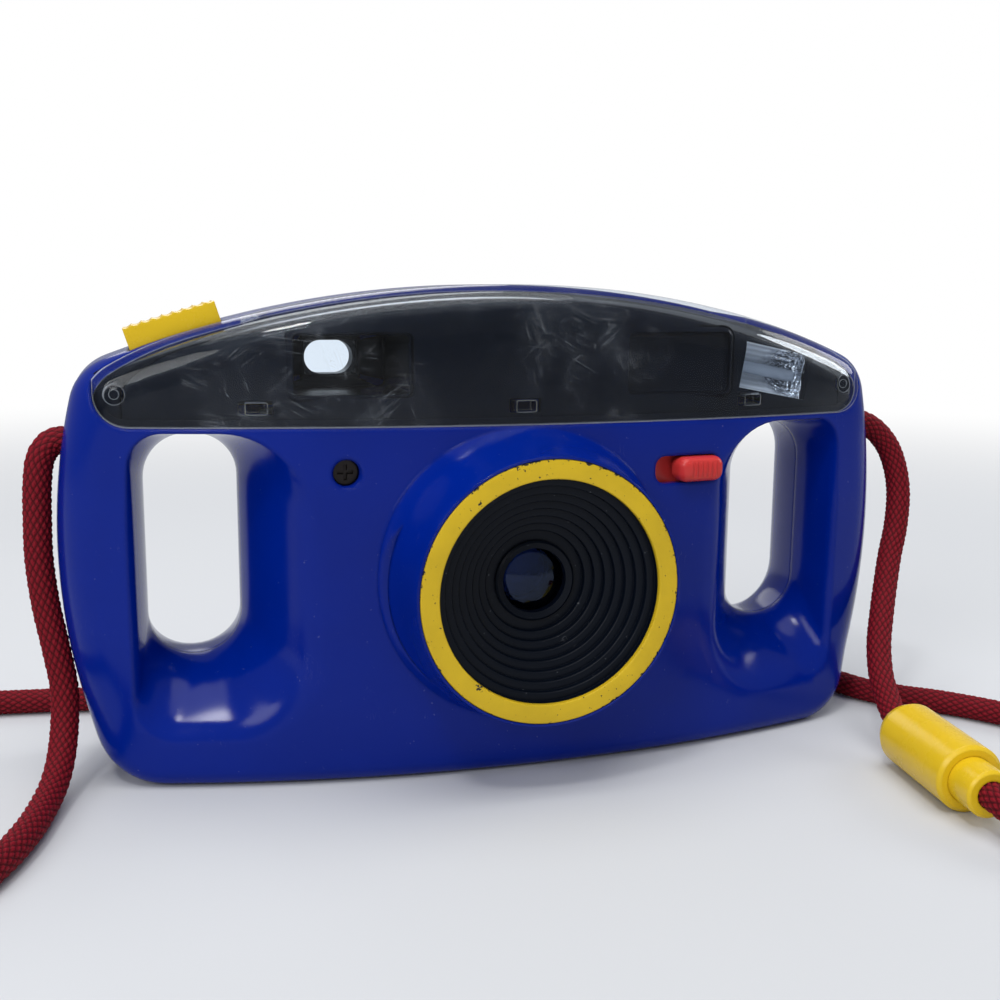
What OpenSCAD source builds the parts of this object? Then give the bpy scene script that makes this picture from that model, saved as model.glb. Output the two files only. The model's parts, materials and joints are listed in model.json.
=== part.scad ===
// Child's film camera with a built-in flash, two grip handles and a neck strap.
// Millimetres. X to the viewer's right, Y away from the viewer, Z up.
// The origin is on the flat base, on the joint between the two shells, under the lens axis.

/* [Body] */
// Width over both handles
body_w = 200; // [176:1:224]
// Height at the middle
body_h = 110; // [104:1:124]
// Depth of the front shell at the middle
front_depth = 26; // [25:0.5:32]
// Depth of the rear shell
rear_depth = 18; // [17:0.5:24]
// How far the front bows back at the ends
front_bow = 16; // [12:0.5:17]
// Radius of the arched top
std_top_r = 248; // [220:1:300]
// Radius of the bulging sides
side_r = 136; // [120:1:180]
// Height at which the body is widest
std_widest_z = 52; // [46:1:58]
// Radius of the lower corners seen from the front
low_corner_r = 15; // [12:0.5:18]
// Radius of the upper corners seen from the front
top_corner_r = 12; // [10:0.5:16]
// Rounding of the front and back edges
edge_r = 8; // [6:0.5:9]
// Rounding of the front and back edges at the base
base_edge_r = 4; // [3.5:0.25:6]
// Wall thickness of the shells
wall = 2.6; // [2.2:0.1:3]

/* [Grips] */
// Inner edge of the through hole from the middle
std_hole_in_x = 61; // [58:0.5:64]
// Outer edge of the through hole from the middle
std_hole_out_x = 81.5; // [80:0.5:83]
// Lower edge of the through hole
std_hole_low_z = 26; // [24:0.5:32]
// Upper edge of the through hole
std_hole_top_z = 77; // [72:0.5:77]
// Inner edge of the front scoop from the middle
std_scoop_in_x = 48.5; // [46:0.5:52]
// Outer edge of the front scoop from the middle
std_scoop_out_x = 84.5; // [83.5:0.5:86]
// Lower edge of the front scoop
std_scoop_low_z = 12.5; // [11:0.5:18]
// Wall around the grip hole
grip_wall = 1.8; // [1.4:0.1:2.2]
// Rounding of the hole at the back
grip_back_r = 5; // [3:0.5:6]

/* [Lens] */
// Height of the lens axis
std_lens_z = 46; // [44:0.5:48]
// How far the ring stands off the front
lens_out = 18; // [15:0.5:22]
// Outer radius of the yellow ring
ring_r = 28.5; // [27:0.25:29]
// Inner radius of the yellow ring
ring_in_r = 24.3; // [23:0.1:25]
// Thickness of the yellow ring
ring_t = 1.2; // [1:0.1:1.6]
// Radius of the tube's foot on the front
tube_foot_r = 33.6; // [32.5:0.1:34]
// Number of steps in the hood
hood_steps = 8; // [6:1:10]
// Radius of the lens
lens_r = 8.2; // [7:0.1:9]
// Depth of the lens below the ring
lens_sink = 12; // [10:0.5:13]

/* [Top cover] */
// Lower edge of the clear cover
std_cover_z = 79.6; // [79.2:0.1:80.4]
// Half width of the clear cover
std_cover_half_w = 91; // [88:0.5:92]
// Corner radius of the clear cover
cover_corner_r = 7; // [6:0.5:9]
// Thickness of the clear cover
cover_t = 1.5; // [1.2:0.1:1.7]
// Thickness of the black mask
mask_t = 1.4; // [1.2:0.1:1.6]
// Width of the ledge under the cover
ledge_w = 1.6; // [1.4:0.1:2]
// Viewfinder window width
finder_w = 26; // [22:0.5:27]
// Viewfinder window height
finder_h = 14; // [11:0.5:14]
// Viewfinder window centre from the middle
std_finder_x = 37.75; // [37:0.25:39]
// Viewfinder axis height
std_finder_z = 92.6; // [92:0.2:93.4]

/* [Controls] */
// Length of the shutter button
button_l = 20; // [17:0.5:21]
// Width of the shutter button
button_w = 13; // [11:0.5:13]
// Height of the shutter button above the top
button_h = 4.6; // [4:0.1:6]
// Shutter button centre from the middle
std_button_x = 73.6; // [72:0.2:75]
// Press of the shutter button
button_travel = 2.6; // [2:0.1:2.8]
// Slot length of the flash switch
slot_l = 17.3; // [16:0.1:19]
// Slot height of the flash switch
slot_h = 6.4; // [6:0.1:7]
// Length of the switch's finger piece
switch_l = 11.8; // [10:0.1:12]
// Travel of the flash switch
switch_travel = 5; // [4:0.1:5]
// Radius of the advance wheel
wheel_r = 11.5; // [11.2:0.1:12.4]
// Thickness of the advance wheel
wheel_t = 5; // [4:0.1:5.2]

/* [Film door] */
// Half width of the film door
std_door_half_w = 44.6; // [43:0.2:45.4]
// Lower edge of the film door
std_door_low_z = 11.5; // [10.5:0.5:13]
// Upper edge of the film door
std_door_top_z = 65; // [64:0.2:65.4]
// Radius of the hinge pin
pin_r = 0.9; // [0.7:0.05:1]
// Radius of the hinge knuckles
knuckle_r = 2.2; // [2:0.1:2.4]

/* [Strap] */
// Radius of the strap cord
cord_r = 3; // [2.5:0.1:3.2]
// Radius of the connector's barrel
barrel_r = 7.5; // [6.5:0.1:8]
// Length of the connector's barrel
barrel_l = 30; // [26:0.5:32]
// Length of the connector's collar
collar_l = 8; // [6:0.5:9]
// Radius of the connector's collar
collar_r = 5.2; // [4.6:0.1:6]

/* [Fits] */
// Clearance around pieces that drop into the shells
seat_gap = 0.15; // [0.1:0.05:0.25]
// Clearance around moving pieces
move_gap = 0.3; // [0.25:0.05:0.4]
// Radial clearance of a running shaft
run_gap = 0.05; // [0.03:0.01:0.08]

/* [Hidden] */
half_w = body_w / 2;
// Places follow the body when its width or height changes
wide = body_w / 200;
tall = body_h / 110;
top_r = std_top_r * wide * wide;
hole_in_x = std_hole_in_x * wide;
hole_out_x = std_hole_out_x * wide;
scoop_in_x = std_scoop_in_x * wide;
scoop_out_x = std_scoop_out_x * wide;
cover_half_w = std_cover_half_w * wide;
finder_x = std_finder_x * wide;
button_x = std_button_x * wide;
door_half_w = std_door_half_w * wide;
hole_low_z = std_hole_low_z * tall;
hole_top_z = std_hole_top_z * tall;
scoop_low_z = std_scoop_low_z * tall;
lens_z = std_lens_z * tall;
cover_z = std_cover_z * tall;
finder_z = std_finder_z * tall;
door_low_z = std_door_low_z * tall;
door_top_z = std_door_top_z * tall;
widest_z = std_widest_z * tall;
blue = "#00298a";
yellow = "#e8b800";
red = "#c8102e";
black = "#14161c";
clear = "#c9dcea";
steel = "#b8bcc2";
green = "#1f6b3a";
finder_y0 = front_y(finder_x) + wall + mask_t;
finder_y1 = 12;
button_tilt = asin(button_x / top_r);
button_y = -2;
frame_back = rear_depth - wall;
plate_y = -19;
plate_t = 1.5;
frame_front = -10;
wheel_x = -24 * wide;
wheel_y = rear_depth + 2 - wheel_r;
wheel_z = 67.8 * tall;
hinge_x = door_half_w + 2.6;
hinge_y = rear_depth + 0.6;
switch_x = 39.7 * wide;
switch_z = 68.3 * tall;
switch_slope = atan(2 * front_bow * switch_x / (half_w * half_w));
switch_shift = (slot_l - switch_l) / 2 - 0.15;
front_screw_x = -39.7 * wide;
front_screw_z = 69.8 * tall;
case_screws_at = [for (p = [[-91, 42], [91, 42], [-12, 99], [12, 99]]) [p[0] * wide, p[1] * tall]];
pivot_x = -16;
pivot_z = lens_z + 12;
bar_y0 = 0.5;
bar_y1 = 4.5;
bar_z0 = 82.6 * tall;
bar_z1 = bar_z0 + 2.4;
spring_x = -52.5 * wide;
spring_y = 2.5;
spring_z0 = 70 * tall;
strap_z = 75.5 * tall;
flash_x = 65.3 * wide;
flash_z = 90.1 * tall;
flash_roll = 10.5;
flash_yaw = atan(2 * front_bow * flash_x / (half_w * half_w));
flash_w = 20.5;
flash_h = 11;
flash_y = front_y(flash_x) + wall + 0.6;
board_y = -6;
conn_turn = 8;
conn_at = [half_w - 12, -44, barrel_r];
knuckle_low_z = door_low_z + 11;
knuckle_top_z = door_top_z - 11;
knuckle_l = knuckle_top_z - knuckle_low_z;

// Height field and outline of the body

function front_y(x) = -front_depth + front_bow * (x / half_w) * (x / half_w);
function top_z(x) = body_h - top_r + sqrt(top_r * top_r - x * x);
function mix(a, b, t) = a + (b - a) * t;
function ease(t) = let (c = max(0, min(1, t))) c * c * (3 - 2 * c);

// Fillet centres: the lower corner touches the base and the side, the upper one the side and the top
side_c = [half_w - side_r, widest_z];
top_c = [0, body_h - top_r];
low_c = [side_c.x + sqrt(pow(side_r - low_corner_r, 2) - pow(widest_z - low_corner_r, 2)), low_corner_r];
low_turn = asin((widest_z - low_corner_r) / (side_r - low_corner_r));
da = side_r - top_corner_r;
db = top_r - top_corner_r;
dc = norm(side_c - top_c);
along = (da * da - db * db + dc * dc) / (2 * dc);
across = sqrt(da * da - along * along);
toward = (top_c - side_c) / dc;
upper_c = side_c + along * toward + across * [-toward.y, toward.x];
side_end = atan2(upper_c.y - side_c.y, upper_c.x - side_c.x);
top_start = atan2(upper_c.y - top_c.y, upper_c.x - top_c.x);

n_side = 3;
n_turn = 4;
n_long = 18;
function arc_pt(c, r, a) = [c.x + r * cos(a), c.y + r * sin(a), -cos(a), -sin(a)];
// One half of each chain runs from the widest point to the middle; the other half mirrors it
low_half = concat(
  [for (i = [0:n_side - 1]) arc_pt(side_c, side_r, -low_turn * i / n_side)],
  [for (i = [0:n_turn - 1]) arc_pt(low_c, low_corner_r, mix(-low_turn, -90, i / n_turn))],
  [for (i = [0:n_long / 2]) [low_c.x * (1 - 2 * i / n_long), 0, 0, 1]]);
up_half = concat(
  [for (i = [0:n_side - 1]) arc_pt(side_c, side_r, side_end * i / n_side)],
  [for (i = [0:n_turn - 1]) arc_pt(upper_c, top_corner_r, mix(side_end, top_start, i / n_turn))],
  [for (i = [0:n_long / 2]) arc_pt(top_c, top_r, mix(top_start, 90, 2 * i / n_long))]);
n_half = len(low_half);
function flip(p) = [-p[0], p[1], -p[2], p[3]];
low_chain = concat([for (p = low_half) p], [for (i = [n_half - 2:-1:0]) flip(low_half[i])]);
up_chain = concat([for (p = up_half) p], [for (i = [n_half - 2:-1:0]) flip(up_half[i])]);
n_chain = len(low_chain);
outline = concat(low_chain, [for (i = [n_chain - 2:-1:1]) up_chain[i]]);
n_out = len(outline);
function up_index(i) = i == 0 ? 0 : i == n_chain - 1 ? n_chain - 1 : n_out - i;
function edge_at(p) = mix(base_edge_r, edge_r, ease((p[1] - 1) / 18));

n_edge = 4;
// A ring of the skin set back by t, at step k of the edge rounding
function skin_ring(t, k, back) = [for (p = outline)
  let (r = max(edge_at(p) - t, 0.3), f = 90 * k / n_edge, d = t + r * (1 - sin(f)), e = t + r * (1 - cos(f)),
    x = p[0] + p[2] * d, z = p[1] + p[3] * d)
  [x, back ? rear_depth - e : front_y(x) + e, z]];
function loft_faces(n, m) = [for (k = [0:m - 2]) for (i = [0:n - 1]) for (h = [0, 1])
  let (a = k * n + i, b = k * n + (i + 1) % n) h == 0 ? [a, b, b + n] : [a, b + n, a + n]];
function cap_faces(base, turned) = [for (i = [0:n_chain - 2]) for (h = [0, 1])
  let (a = base + i, b = base + i + 1, c = base + up_index(i + 1), d = base + up_index(i),
    f = h == 0 ? [a, c, b] : [a, d, c])
  if (f[0] != f[1] && f[1] != f[2] && f[0] != f[2]) turned ? [f[2], f[1], f[0]] : f];

// The whole body set back by t from the outside
module body_solid(t) {
  rings = concat([for (k = [0:n_edge]) skin_ring(t, k, false)], [for (k = [n_edge:-1:0]) skin_ring(t, k, true)]);
  m = len(rings);
  polyhedron([for (r = rings) each r],
    concat(cap_faces(0, true), [for (f = loft_faces(n_out, m)) [f[2], f[1], f[0]]],
      cap_faces((m - 1) * n_out, false)), convexity = 8);
}

module front_half() {
  translate([-200, -100, -10]) cube([400, 100, 200]);
}

module back_half() {
  translate([-200, 0, -10]) cube([400, 100, 200]);
}

// Grip hole: a rounded opening that flares into a scoop at the front and a soft edge at the back

n_corner = 5;
function round_rect(x0, x1, z0, z1, ri, ro) = concat(
  [for (i = [0:n_corner]) [x1 - ro + ro * cos(90 * i / n_corner), z1 - ro + ro * sin(90 * i / n_corner)]],
  [for (i = [0:n_corner]) [x0 + ri - ri * sin(90 * i / n_corner), z1 - ri + ri * cos(90 * i / n_corner)]],
  [for (i = [0:n_corner]) [x0 + ri - ri * cos(90 * i / n_corner), z0 + ri - ri * sin(90 * i / n_corner)]],
  [for (i = [0:n_corner]) [x1 - ro + ro * sin(90 * i / n_corner), z0 + ro - ro * cos(90 * i / n_corner)]]);
hole_r = (hole_out_x - hole_in_x) / 2 - 0.2;
scoop_top_z = hole_top_z + 1.5;
function hole_ring(g) = round_rect(hole_in_x - g, hole_out_x + g, hole_low_z - g, hole_top_z + g, hole_r + g, hole_r + g);
function scoop_ring(g) = round_rect(scoop_in_x - g, scoop_out_x + g, scoop_low_z - g, scoop_top_z + g, 17 + g, 7 + g);
front_steps = [1.3, 1.12, 1, 0.9, 0.78, 0.62, 0.45, 0.25, 0];
back_steps = [0.4, 0.6, 0.75, 0.87, 0.96, 1.1];
function grip_rings(g) = let (a = hole_ring(g), b = scoop_ring(g)) concat(
  [for (s = front_steps) let (w = pow(s, 1.6)) [for (i = [0:len(a) - 1])
    let (p = mix(a[i], b[i], w)) [p.x, s * front_y(b[i].x), p.y]]],
  [for (s = back_steps) let (o = s < 1 ? grip_back_r * (1 - sqrt(1 - s * s)) : grip_back_r,
    h = hole_ring(g + o)) [for (p = h) [p.x, s * rear_depth, p.y]]]);

module grip_tunnel(g) {
  rings = grip_rings(g);
  n = len(rings[0]);
  m = len(rings);
  polyhedron([for (r = rings) each r],
    concat([[for (i = [n - 1:-1:0]) i]], loft_faces(n, m), [[for (i = [0:n - 1]) (m - 1) * n + i]]), convexity = 4);
}

module both_grips(g) {
  grip_tunnel(g);
  mirror([1, 0, 0]) grip_tunnel(g);
}

// Places

module lens_axis() {
  translate([0, 0, lens_z]) rotate([90, 0, 0]) children();
}

module along_y(x, z, y0, y1) {
  translate([x, y1, z]) rotate([90, 0, 0]) linear_extrude(y1 - y0) children();
}

module on_button() {
  translate([-button_x, button_y, top_z(button_x)]) rotate([0, -button_tilt, 0]) children();
}

module on_switch() {
  translate([switch_x, front_y(switch_x), switch_z]) rotate([0, 0, switch_slope]) children();
}

module on_flash() {
  translate([flash_x, flash_y, flash_z]) rotate([0, 0, flash_yaw]) rotate([0, flash_roll, 0]) children();
}

module rounded(w, h, r) {
  translate([-w / 2 + r, -h / 2]) square([w - 2 * r, h]);
  translate([-w / 2, -h / 2 + r]) square([w, h - 2 * r]);
  for (x = [-1, 1]) for (y = [-1, 1]) translate([x * (w / 2 - r), y * (h / 2 - r)]) circle(r, $fn = 32);
}

// The same outline as one soft loop, for the moulded shells, the cover and the mask
module soft_rect(w, h, r) {
  hull() for (x = [-1, 1]) for (y = [-1, 1]) translate([x * (w / 2 - r), y * (h / 2 - r)]) circle(r, $fn = 16);
}

// A screw boss with a gusset that runs to the nearer wall
module boss(r, reach) {
  hull() {
    circle(r, $fn = 16);
    translate(reach) circle(r / 2, $fn = 12);
  }
}

// The region of the clear cover, grown by g: front outline and top outline together
cover_back = -3;
cover_cut = -10.2;
module cover_region(g) {
  w = 2 * (cover_half_w + g);
  h = 60;
  intersection() {
    along_y(0, cover_z - g + h / 2, -60, 0) soft_rect(w, h, cover_corner_r + g);
    translate([0, 0, cover_z - 5]) linear_extrude(60) polygon([
      [-cover_half_w - 9, -60], [cover_half_w + 9, -60], [cover_half_w + 9, cover_cut + g],
      [60 * wide, cover_cut + g], [54 * wide, cover_back + g], [-54 * wide, cover_back + g], [-60 * wide, cover_cut + g],
      [-cover_half_w - 9, cover_cut + g]]);
  }
}

// Shells

function boss_reach(p) = p[1] > cover_z ? [0, 9] : [sign(p[0]) * 6, 0];

tube_top = front_depth + lens_out;
module lens_tube() {
  lens_axis() rotate_extrude($fn = 60) polygon([[0, tube_top], [ring_r + 0.6, tube_top], [ring_r + 0.9, tube_top - 4],
    [ring_r + 1.5, tube_top - 8.6], [ring_r + 2.4, tube_top - 13], [ring_r + 3.7, tube_top - 16.4],
    [tube_foot_r, tube_top - 18.6], [tube_foot_r, front_depth - 3], [0, front_depth - 3]]);
}

// Room for the hood inside the tube, with a seat for the ring and the hood's flange
module tube_bore() {
  lens_axis() rotate_extrude($fn = 60) polygon([[0, 0], [ring_r - 1.2, 0], [ring_r - 1.2, tube_top - 2 * ring_t],
    [ring_r + 0.1, tube_top - 2 * ring_t], [ring_r + 0.1, tube_top + 2], [0, tube_top + 2]]);
}

module shell_holes() {
  on_button() linear_extrude(14, center = true) soft_rect(button_l + 2 * move_gap, button_w + 2 * move_gap, 1);
  for (s = [-1, 1]) translate([s * half_w, 0, strap_z]) rotate([0, 90, 0])
    cylinder(r = cord_r + move_gap, h = 24, center = true, $fn = 24);
}

module front_shell() {
  color(blue) difference() {
    union() {
      difference() {
        intersection() {
          body_solid(0);
          front_half();
        }
        body_solid(wall);
      }
      intersection() {
        body_solid(wall / 2);
        front_half();
        union() {
          both_grips(grip_wall);
          for (p = case_screws_at) along_y(p[0], p[1], -40, 0) boss(3.2, boss_reach(p));
          along_y(front_screw_x, front_screw_z, -40, -8) boss(3.4, [0, 0]);
          for (x = [-26, 26]) along_y(x, lens_z - 18, -40, plate_y) circle(2.2, $fn = 24);
          for (x = [-12, 12]) along_y(x, lens_z + 30.4, -40, plate_y) circle(2.2, $fn = 24);
        }
      }
      lens_tube();
    }
    both_grips(0);
    tube_bore();
    difference() {
      cover_region(seat_gap);
      body_solid(cover_t + run_gap);
    }
    cover_region(-ledge_w);
    cover_pins(seat_gap, 9);
    on_switch() rotate([90, 0, 0]) linear_extrude(12, center = true) soft_rect(slot_l, slot_h, 0.5);
    along_y(front_screw_x, front_screw_z, -40, -19.5) circle(2.9, $fn = 24);
    along_y(front_screw_x, front_screw_z, -40, 1) circle(1.7, $fn = 24);
    for (p = case_screws_at) along_y(p[0], p[1], -9, 1) circle(1.4 + run_gap, $fn = 24);
    shell_holes();
  }
}

module rear_shell() {
  color(blue) difference() {
    union() {
      difference() {
        intersection() {
          body_solid(0);
          back_half();
        }
        body_solid(wall);
      }
      intersection() {
        body_solid(wall / 2);
        union() {
          intersection() {
            both_grips(grip_wall);
            back_half();
          }
          for (p = case_screws_at) along_y(p[0], p[1], 0, 30) boss(3.6, boss_reach(p));
          along_y(front_screw_x, front_screw_z, -8, 30) boss(3.4, [0, 0]);
          for (x = [22, 50]) along_y(x * wide, 92 * tall, board_y + 1.6, 30) boss(2, [0, 0]);
          translate([spring_x - 3.5, -1, spring_z0 - 3]) cube([7, 30, 3]);
        }
      }
      for (z = [[door_low_z, knuckle_low_z], [knuckle_top_z, door_top_z]]) translate([hinge_x, hinge_y, z[0]])
        cylinder(r = knuckle_r, h = z[1] - z[0], $fn = 32);
    }
    both_grips(0);
    translate([-door_half_w - move_gap, 0, door_low_z - move_gap])
      cube([2 * (door_half_w + move_gap), 40, door_top_z - door_low_z + 2 * move_gap]);
    translate([hinge_x, hinge_y, knuckle_low_z - move_gap / 2]) cylinder(r = knuckle_r + move_gap, h = knuckle_l + move_gap, $fn = 32);
    translate([door_half_w - 1, rear_depth - wall - 1, knuckle_low_z - move_gap / 2]) cube([3.6, 9, knuckle_l + move_gap]);
    translate([hinge_x, hinge_y, 0]) cylinder(r = pin_r + run_gap, h = 80, $fn = 24);
    translate([-door_half_w - 1, rear_depth + 5, 38 * tall]) sphere(r = 8, $fn = 32);
    translate([wheel_x, wheel_y, wheel_z - move_gap]) cylinder(r = wheel_r + 0.6, h = wheel_t + 2 * move_gap, $fn = 64);
    along_y(-finder_x, finder_z, finder_y1 - 1, 30) soft_rect(17.4, 13.4, 6.4);
    for (p = case_screws_at) along_y(p[0], p[1], -1, 30) circle(1.7, $fn = 24);
    for (p = case_screws_at) along_y(p[0], p[1], rear_depth - 4.5, 30) circle(3.1, $fn = 24);
    along_y(front_screw_x, front_screw_z, -9, 4) circle(1.4 + run_gap, $fn = 24);
    shell_holes();
  }
}

// Top cover, mask and viewfinder

clip_x = [-58 * wide, 0, 58 * wide];
clip_z = cover_z + 4;
boss_x = 86.6 * wide;
boss_z = cover_z + 6.9;
module cover_pins(g, depth) {
  for (x = clip_x) along_y(x, clip_z, front_y(x) + 0.6, front_y(x) + depth) soft_rect(4.4 + 2 * g, 2.4 + 2 * g, 0.3);
  for (x = [-boss_x, boss_x]) along_y(x, boss_z, front_y(x) + 0.6, front_y(x) + depth) boss(2.1 + g, [0, 0]);
}

module top_cover() {
  color(clear) union() {
    difference() {
      intersection() {
        body_solid(0);
        cover_region(0);
      }
      body_solid(cover_t);
    }
    difference() {
      union() {
        cover_pins(0, 5.3);
        for (x = clip_x) hull() {
          along_y(x, clip_z, front_y(x) + 5.1, front_y(x) + 5.3) soft_rect(4.4, 3.4, 0.3);
          along_y(x, clip_z, front_y(x) + 6, front_y(x) + 6.2) soft_rect(4.4, 1.6, 0.3);
        }
      }
      for (x = [-boss_x, boss_x]) along_y(x, boss_z, front_y(x) + 2, front_y(x) + 6) circle(1.1, $fn = 24);
    }
  }
}

module finder_tunnel(g) {
  hull() {
    along_y(-finder_x, finder_z, finder_y0 - 1 - g, finder_y0 + 1.5) soft_rect(finder_w + 2 * g, finder_h + 2 * g, 1.6 + g);
    along_y(-finder_x, finder_z, finder_y1 - 1, finder_y1 + g / 10) soft_rect(14 + 2 * g, 10 + 2 * g, 4 + g);
  }
}

module viewfinder_mask() {
  color(black) difference() {
    union() {
      difference() {
        intersection() {
          body_solid(wall + run_gap);
          cover_region(-0.8);
          translate([-100, -60, cover_z + 1.1]) cube([200, 60, 60]);
        }
        body_solid(wall + run_gap + mask_t);
      }
      difference() {
        finder_tunnel(1.2);
        translate([-100, finder_y1, 0]) cube([200, 20, 200]);
      }
      along_y(finder_x, finder_z, finder_y0 - 1.6, finder_y0 + 3) soft_rect(finder_w + 3, finder_h + 3, 3);
      on_flash() translate([-flash_w / 2 - 2, 0.6, -flash_h / 2 - 2]) cube([flash_w + 4, 7, flash_h + 4]);
    }
    difference() {
      translate([-200, -100, 40]) cube([400, 100, 120]);
      body_solid(wall + run_gap);
    }
    finder_tunnel(0);
    along_y(-finder_x, finder_z, -40, finder_y0) soft_rect(finder_w, finder_h, 1.6);
    along_y(-finder_x, finder_z, 8, 30) soft_rect(14, 10, 4);
    along_y(finder_x, finder_z, -40, finder_y0 + 1.8) soft_rect(finder_w, finder_h, 1.6);
    on_flash() translate([-flash_w / 2, -8, -flash_h / 2]) cube([flash_w, 30, flash_h]);
    on_flash() translate([-flash_w / 2 - 0.8, 1.4, -flash_h / 2 - 0.8]) cube([flash_w + 1.6, 30, flash_h + 1.6]);
    cover_pins(seat_gap, 9);
    for (p = case_screws_at) along_y(p[0], p[1], -6, 0) boss(3.2 + move_gap, boss_reach(p));
  }
}

module eyepiece() {
  color(black) difference() {
    union() {
      along_y(-finder_x, finder_z, finder_y1, rear_depth) rounded(17 - 0.1, 13 - 0.1, 6.1);
      along_y(-finder_x, finder_z, rear_depth, rear_depth + 1.2) rounded(19, 15, 7);
    }
    along_y(-finder_x, finder_z, finder_y1 - 1, 30) rounded(11.6, 8, 3.9);
    along_y(-finder_x, finder_z, finder_y1 - 1, finder_y1 + 2) rounded(14.2, 10.2, 4);
  }
}

module eyepiece_lens() {
  color(clear) along_y(-finder_x, finder_z, finder_y1 + 0.4, finder_y1 + 2) rounded(14, 10, 4);
}

// Lens group

module lens_ring() {
  color(yellow) lens_axis() translate([0, 0, tube_top - ring_t]) difference() {
    cylinder(r = ring_r, h = ring_t, $fn = 96);
    translate([0, 0, -1]) cylinder(r = ring_in_r, h = 4, $fn = 96);
  }
}

hood_top = tube_top - ring_t;
seat_z = tube_top - lens_sink - 1;
step_r = (ring_in_r - lens_r - 1.2) / hood_steps;
step_z = (hood_top - seat_z) / hood_steps;
module lens_hood() {
  color(black) lens_axis() rotate_extrude($fn = 96) polygon(concat(
    [for (i = [0:hood_steps - 1]) each [[ring_in_r - i * step_r, hood_top - i * step_z],
      [ring_in_r - i * step_r, hood_top - (i + 1) * step_z]]],
    [[lens_r + run_gap, seat_z], [lens_r + run_gap, seat_z - 5], [lens_r - 1.8, seat_z - 5], [lens_r - 1.8, 21.2],
      [lens_r + 2.4, 21.2], [lens_r + 2.4, seat_z - 2.5], [ring_r - 1.6, hood_top - ring_t - 4], [ring_r - 1.6, hood_top - ring_t],
      [ring_r - 0.1, hood_top - ring_t], [ring_r - 0.1, hood_top]]));
}

module lens_retainer() {
  color(black) lens_axis() rotate_extrude($fn = 64) polygon([[lens_r - 1, seat_z - 1.4], [lens_r, seat_z - 1.4],
    [lens_r, seat_z], [lens_r + 0.8, seat_z], [lens_r + 0.8, seat_z + 0.8], [lens_r + 0.3, seat_z + 1.2], [lens_r - 1, seat_z + 0.6]]);
}

module taking_lens() {
  color(clear) lens_axis() rotate_extrude($fn = 64) polygon(concat([[0, seat_z - 5], [lens_r, seat_z - 5], [lens_r, seat_z - 1.4]],
    [for (i = [0:6]) let (r = (lens_r - 1.05) * (1 - i / 6)) [r, seat_z - 1.4 + 1.9 * (1 - pow(r / (lens_r - 1.05), 2))]]));
}

// Shutter and release

module shutter_plate() {
  color(black) difference() {
    union() {
      translate([-29, plate_y, lens_z - 21]) cube([58, plate_t, 44]);
      translate([-15, plate_y, lens_z + 14]) cube([30, plate_t, 19]);
      along_y(pivot_x, pivot_z, plate_y - 2, plate_y + 1) circle(1.5, $fn = 32);
    }
    along_y(0, lens_z, plate_y - 5, plate_y + 5) circle(3, $fn = 32);
  }
}

module shutter_blade() {
  color(steel) difference() {
    union() {
      along_y(0, lens_z, plate_y - 1.2, plate_y - 0.4) circle(6, $fn = 48);
      along_y(pivot_x, pivot_z, plate_y - 1.2, plate_y - 0.4) circle(3.2, $fn = 32);
      translate([pivot_x, plate_y - 1.2, pivot_z]) rotate([0, atan2(pivot_z - lens_z, -pivot_x), 0])
        translate([0, 0, -2]) cube([18, 0.8, 4]);
      translate([pivot_x - 5, plate_y - 1.2, pivot_z - 1]) cube([5, 0.8, 2]);
      along_y(pivot_x - 5, pivot_z, plate_y - 1.2, plate_y - 0.4) circle(1.3, $fn = 24);
    }
    along_y(pivot_x, pivot_z, plate_y - 4, plate_y + 2) circle(1.5 + run_gap, $fn = 32);
  }
}

// The flange clears the curved roof inside by a little more than a running fit
flange_z = wall + move_gap + 0.4;
module shutter_button() {
  color(yellow) on_button() union() {
    difference() {
      translate([0, 0, button_h / 2 - 1.5]) cube([button_l, button_w, button_h + 3], center = true);
      for (i = [-4:4]) translate([i * 2.3, 0, button_h + 1.45]) rotate([90, 0, 0]) cylinder(r = 1.9, h = 30, center = true, $fn = 24);
    }
    translate([0, 0.6, -flange_z - 0.6]) cube([button_l + 2.4, button_w + 1.2, 1.2], center = true);
  }
}

module release_bar() {
  stem_in = 0.5;
  stem_l = (top_z(button_x) - bar_z1 + 1.4) / cos(button_tilt);
  foot_x = -button_x - 3.4;
  arm_x = pivot_x - 5;
  color(black) union() {
    translate([0, 0, bar_z0]) linear_extrude(bar_z1 - bar_z0)
      polygon([[foot_x, bar_y0], [arm_x - 1, bar_y0], [arm_x - 1, -20.8], [arm_x + 1, -20.8],
        [arm_x + 1, bar_y1], [foot_x, bar_y1]]);
    translate([arm_x - 0.7, -20.6, pivot_z + 1.6]) cube([1.4, 1.3, bar_z0 - pivot_z]);
    on_button() translate([-3, bar_y0 + stem_in - button_y, -stem_l])
      cube([6, bar_y1 - bar_y0 - 2 * stem_in, stem_l - flange_z - 1.2]);
  }
}

// Return spring: a coil swept along a helix under the release bar
coil_r = 2.6;
wire_r = 0.45;
coil_turns = 5;
coil_n = 60;
coil_pts = [for (i = [0:coil_n]) let (a = 360 * coil_turns * i / coil_n)
  [spring_x + coil_r * cos(a), spring_y + coil_r * sin(a), mix(spring_z0 + wire_r, bar_z0 - wire_r, i / coil_n)]];

// A round tube along points, with flat ends
function unit(v) = v / norm(v);
function tangent(p, i) = unit(p[min(i + 1, len(p) - 1)] - p[max(i - 1, 0)]);
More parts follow.
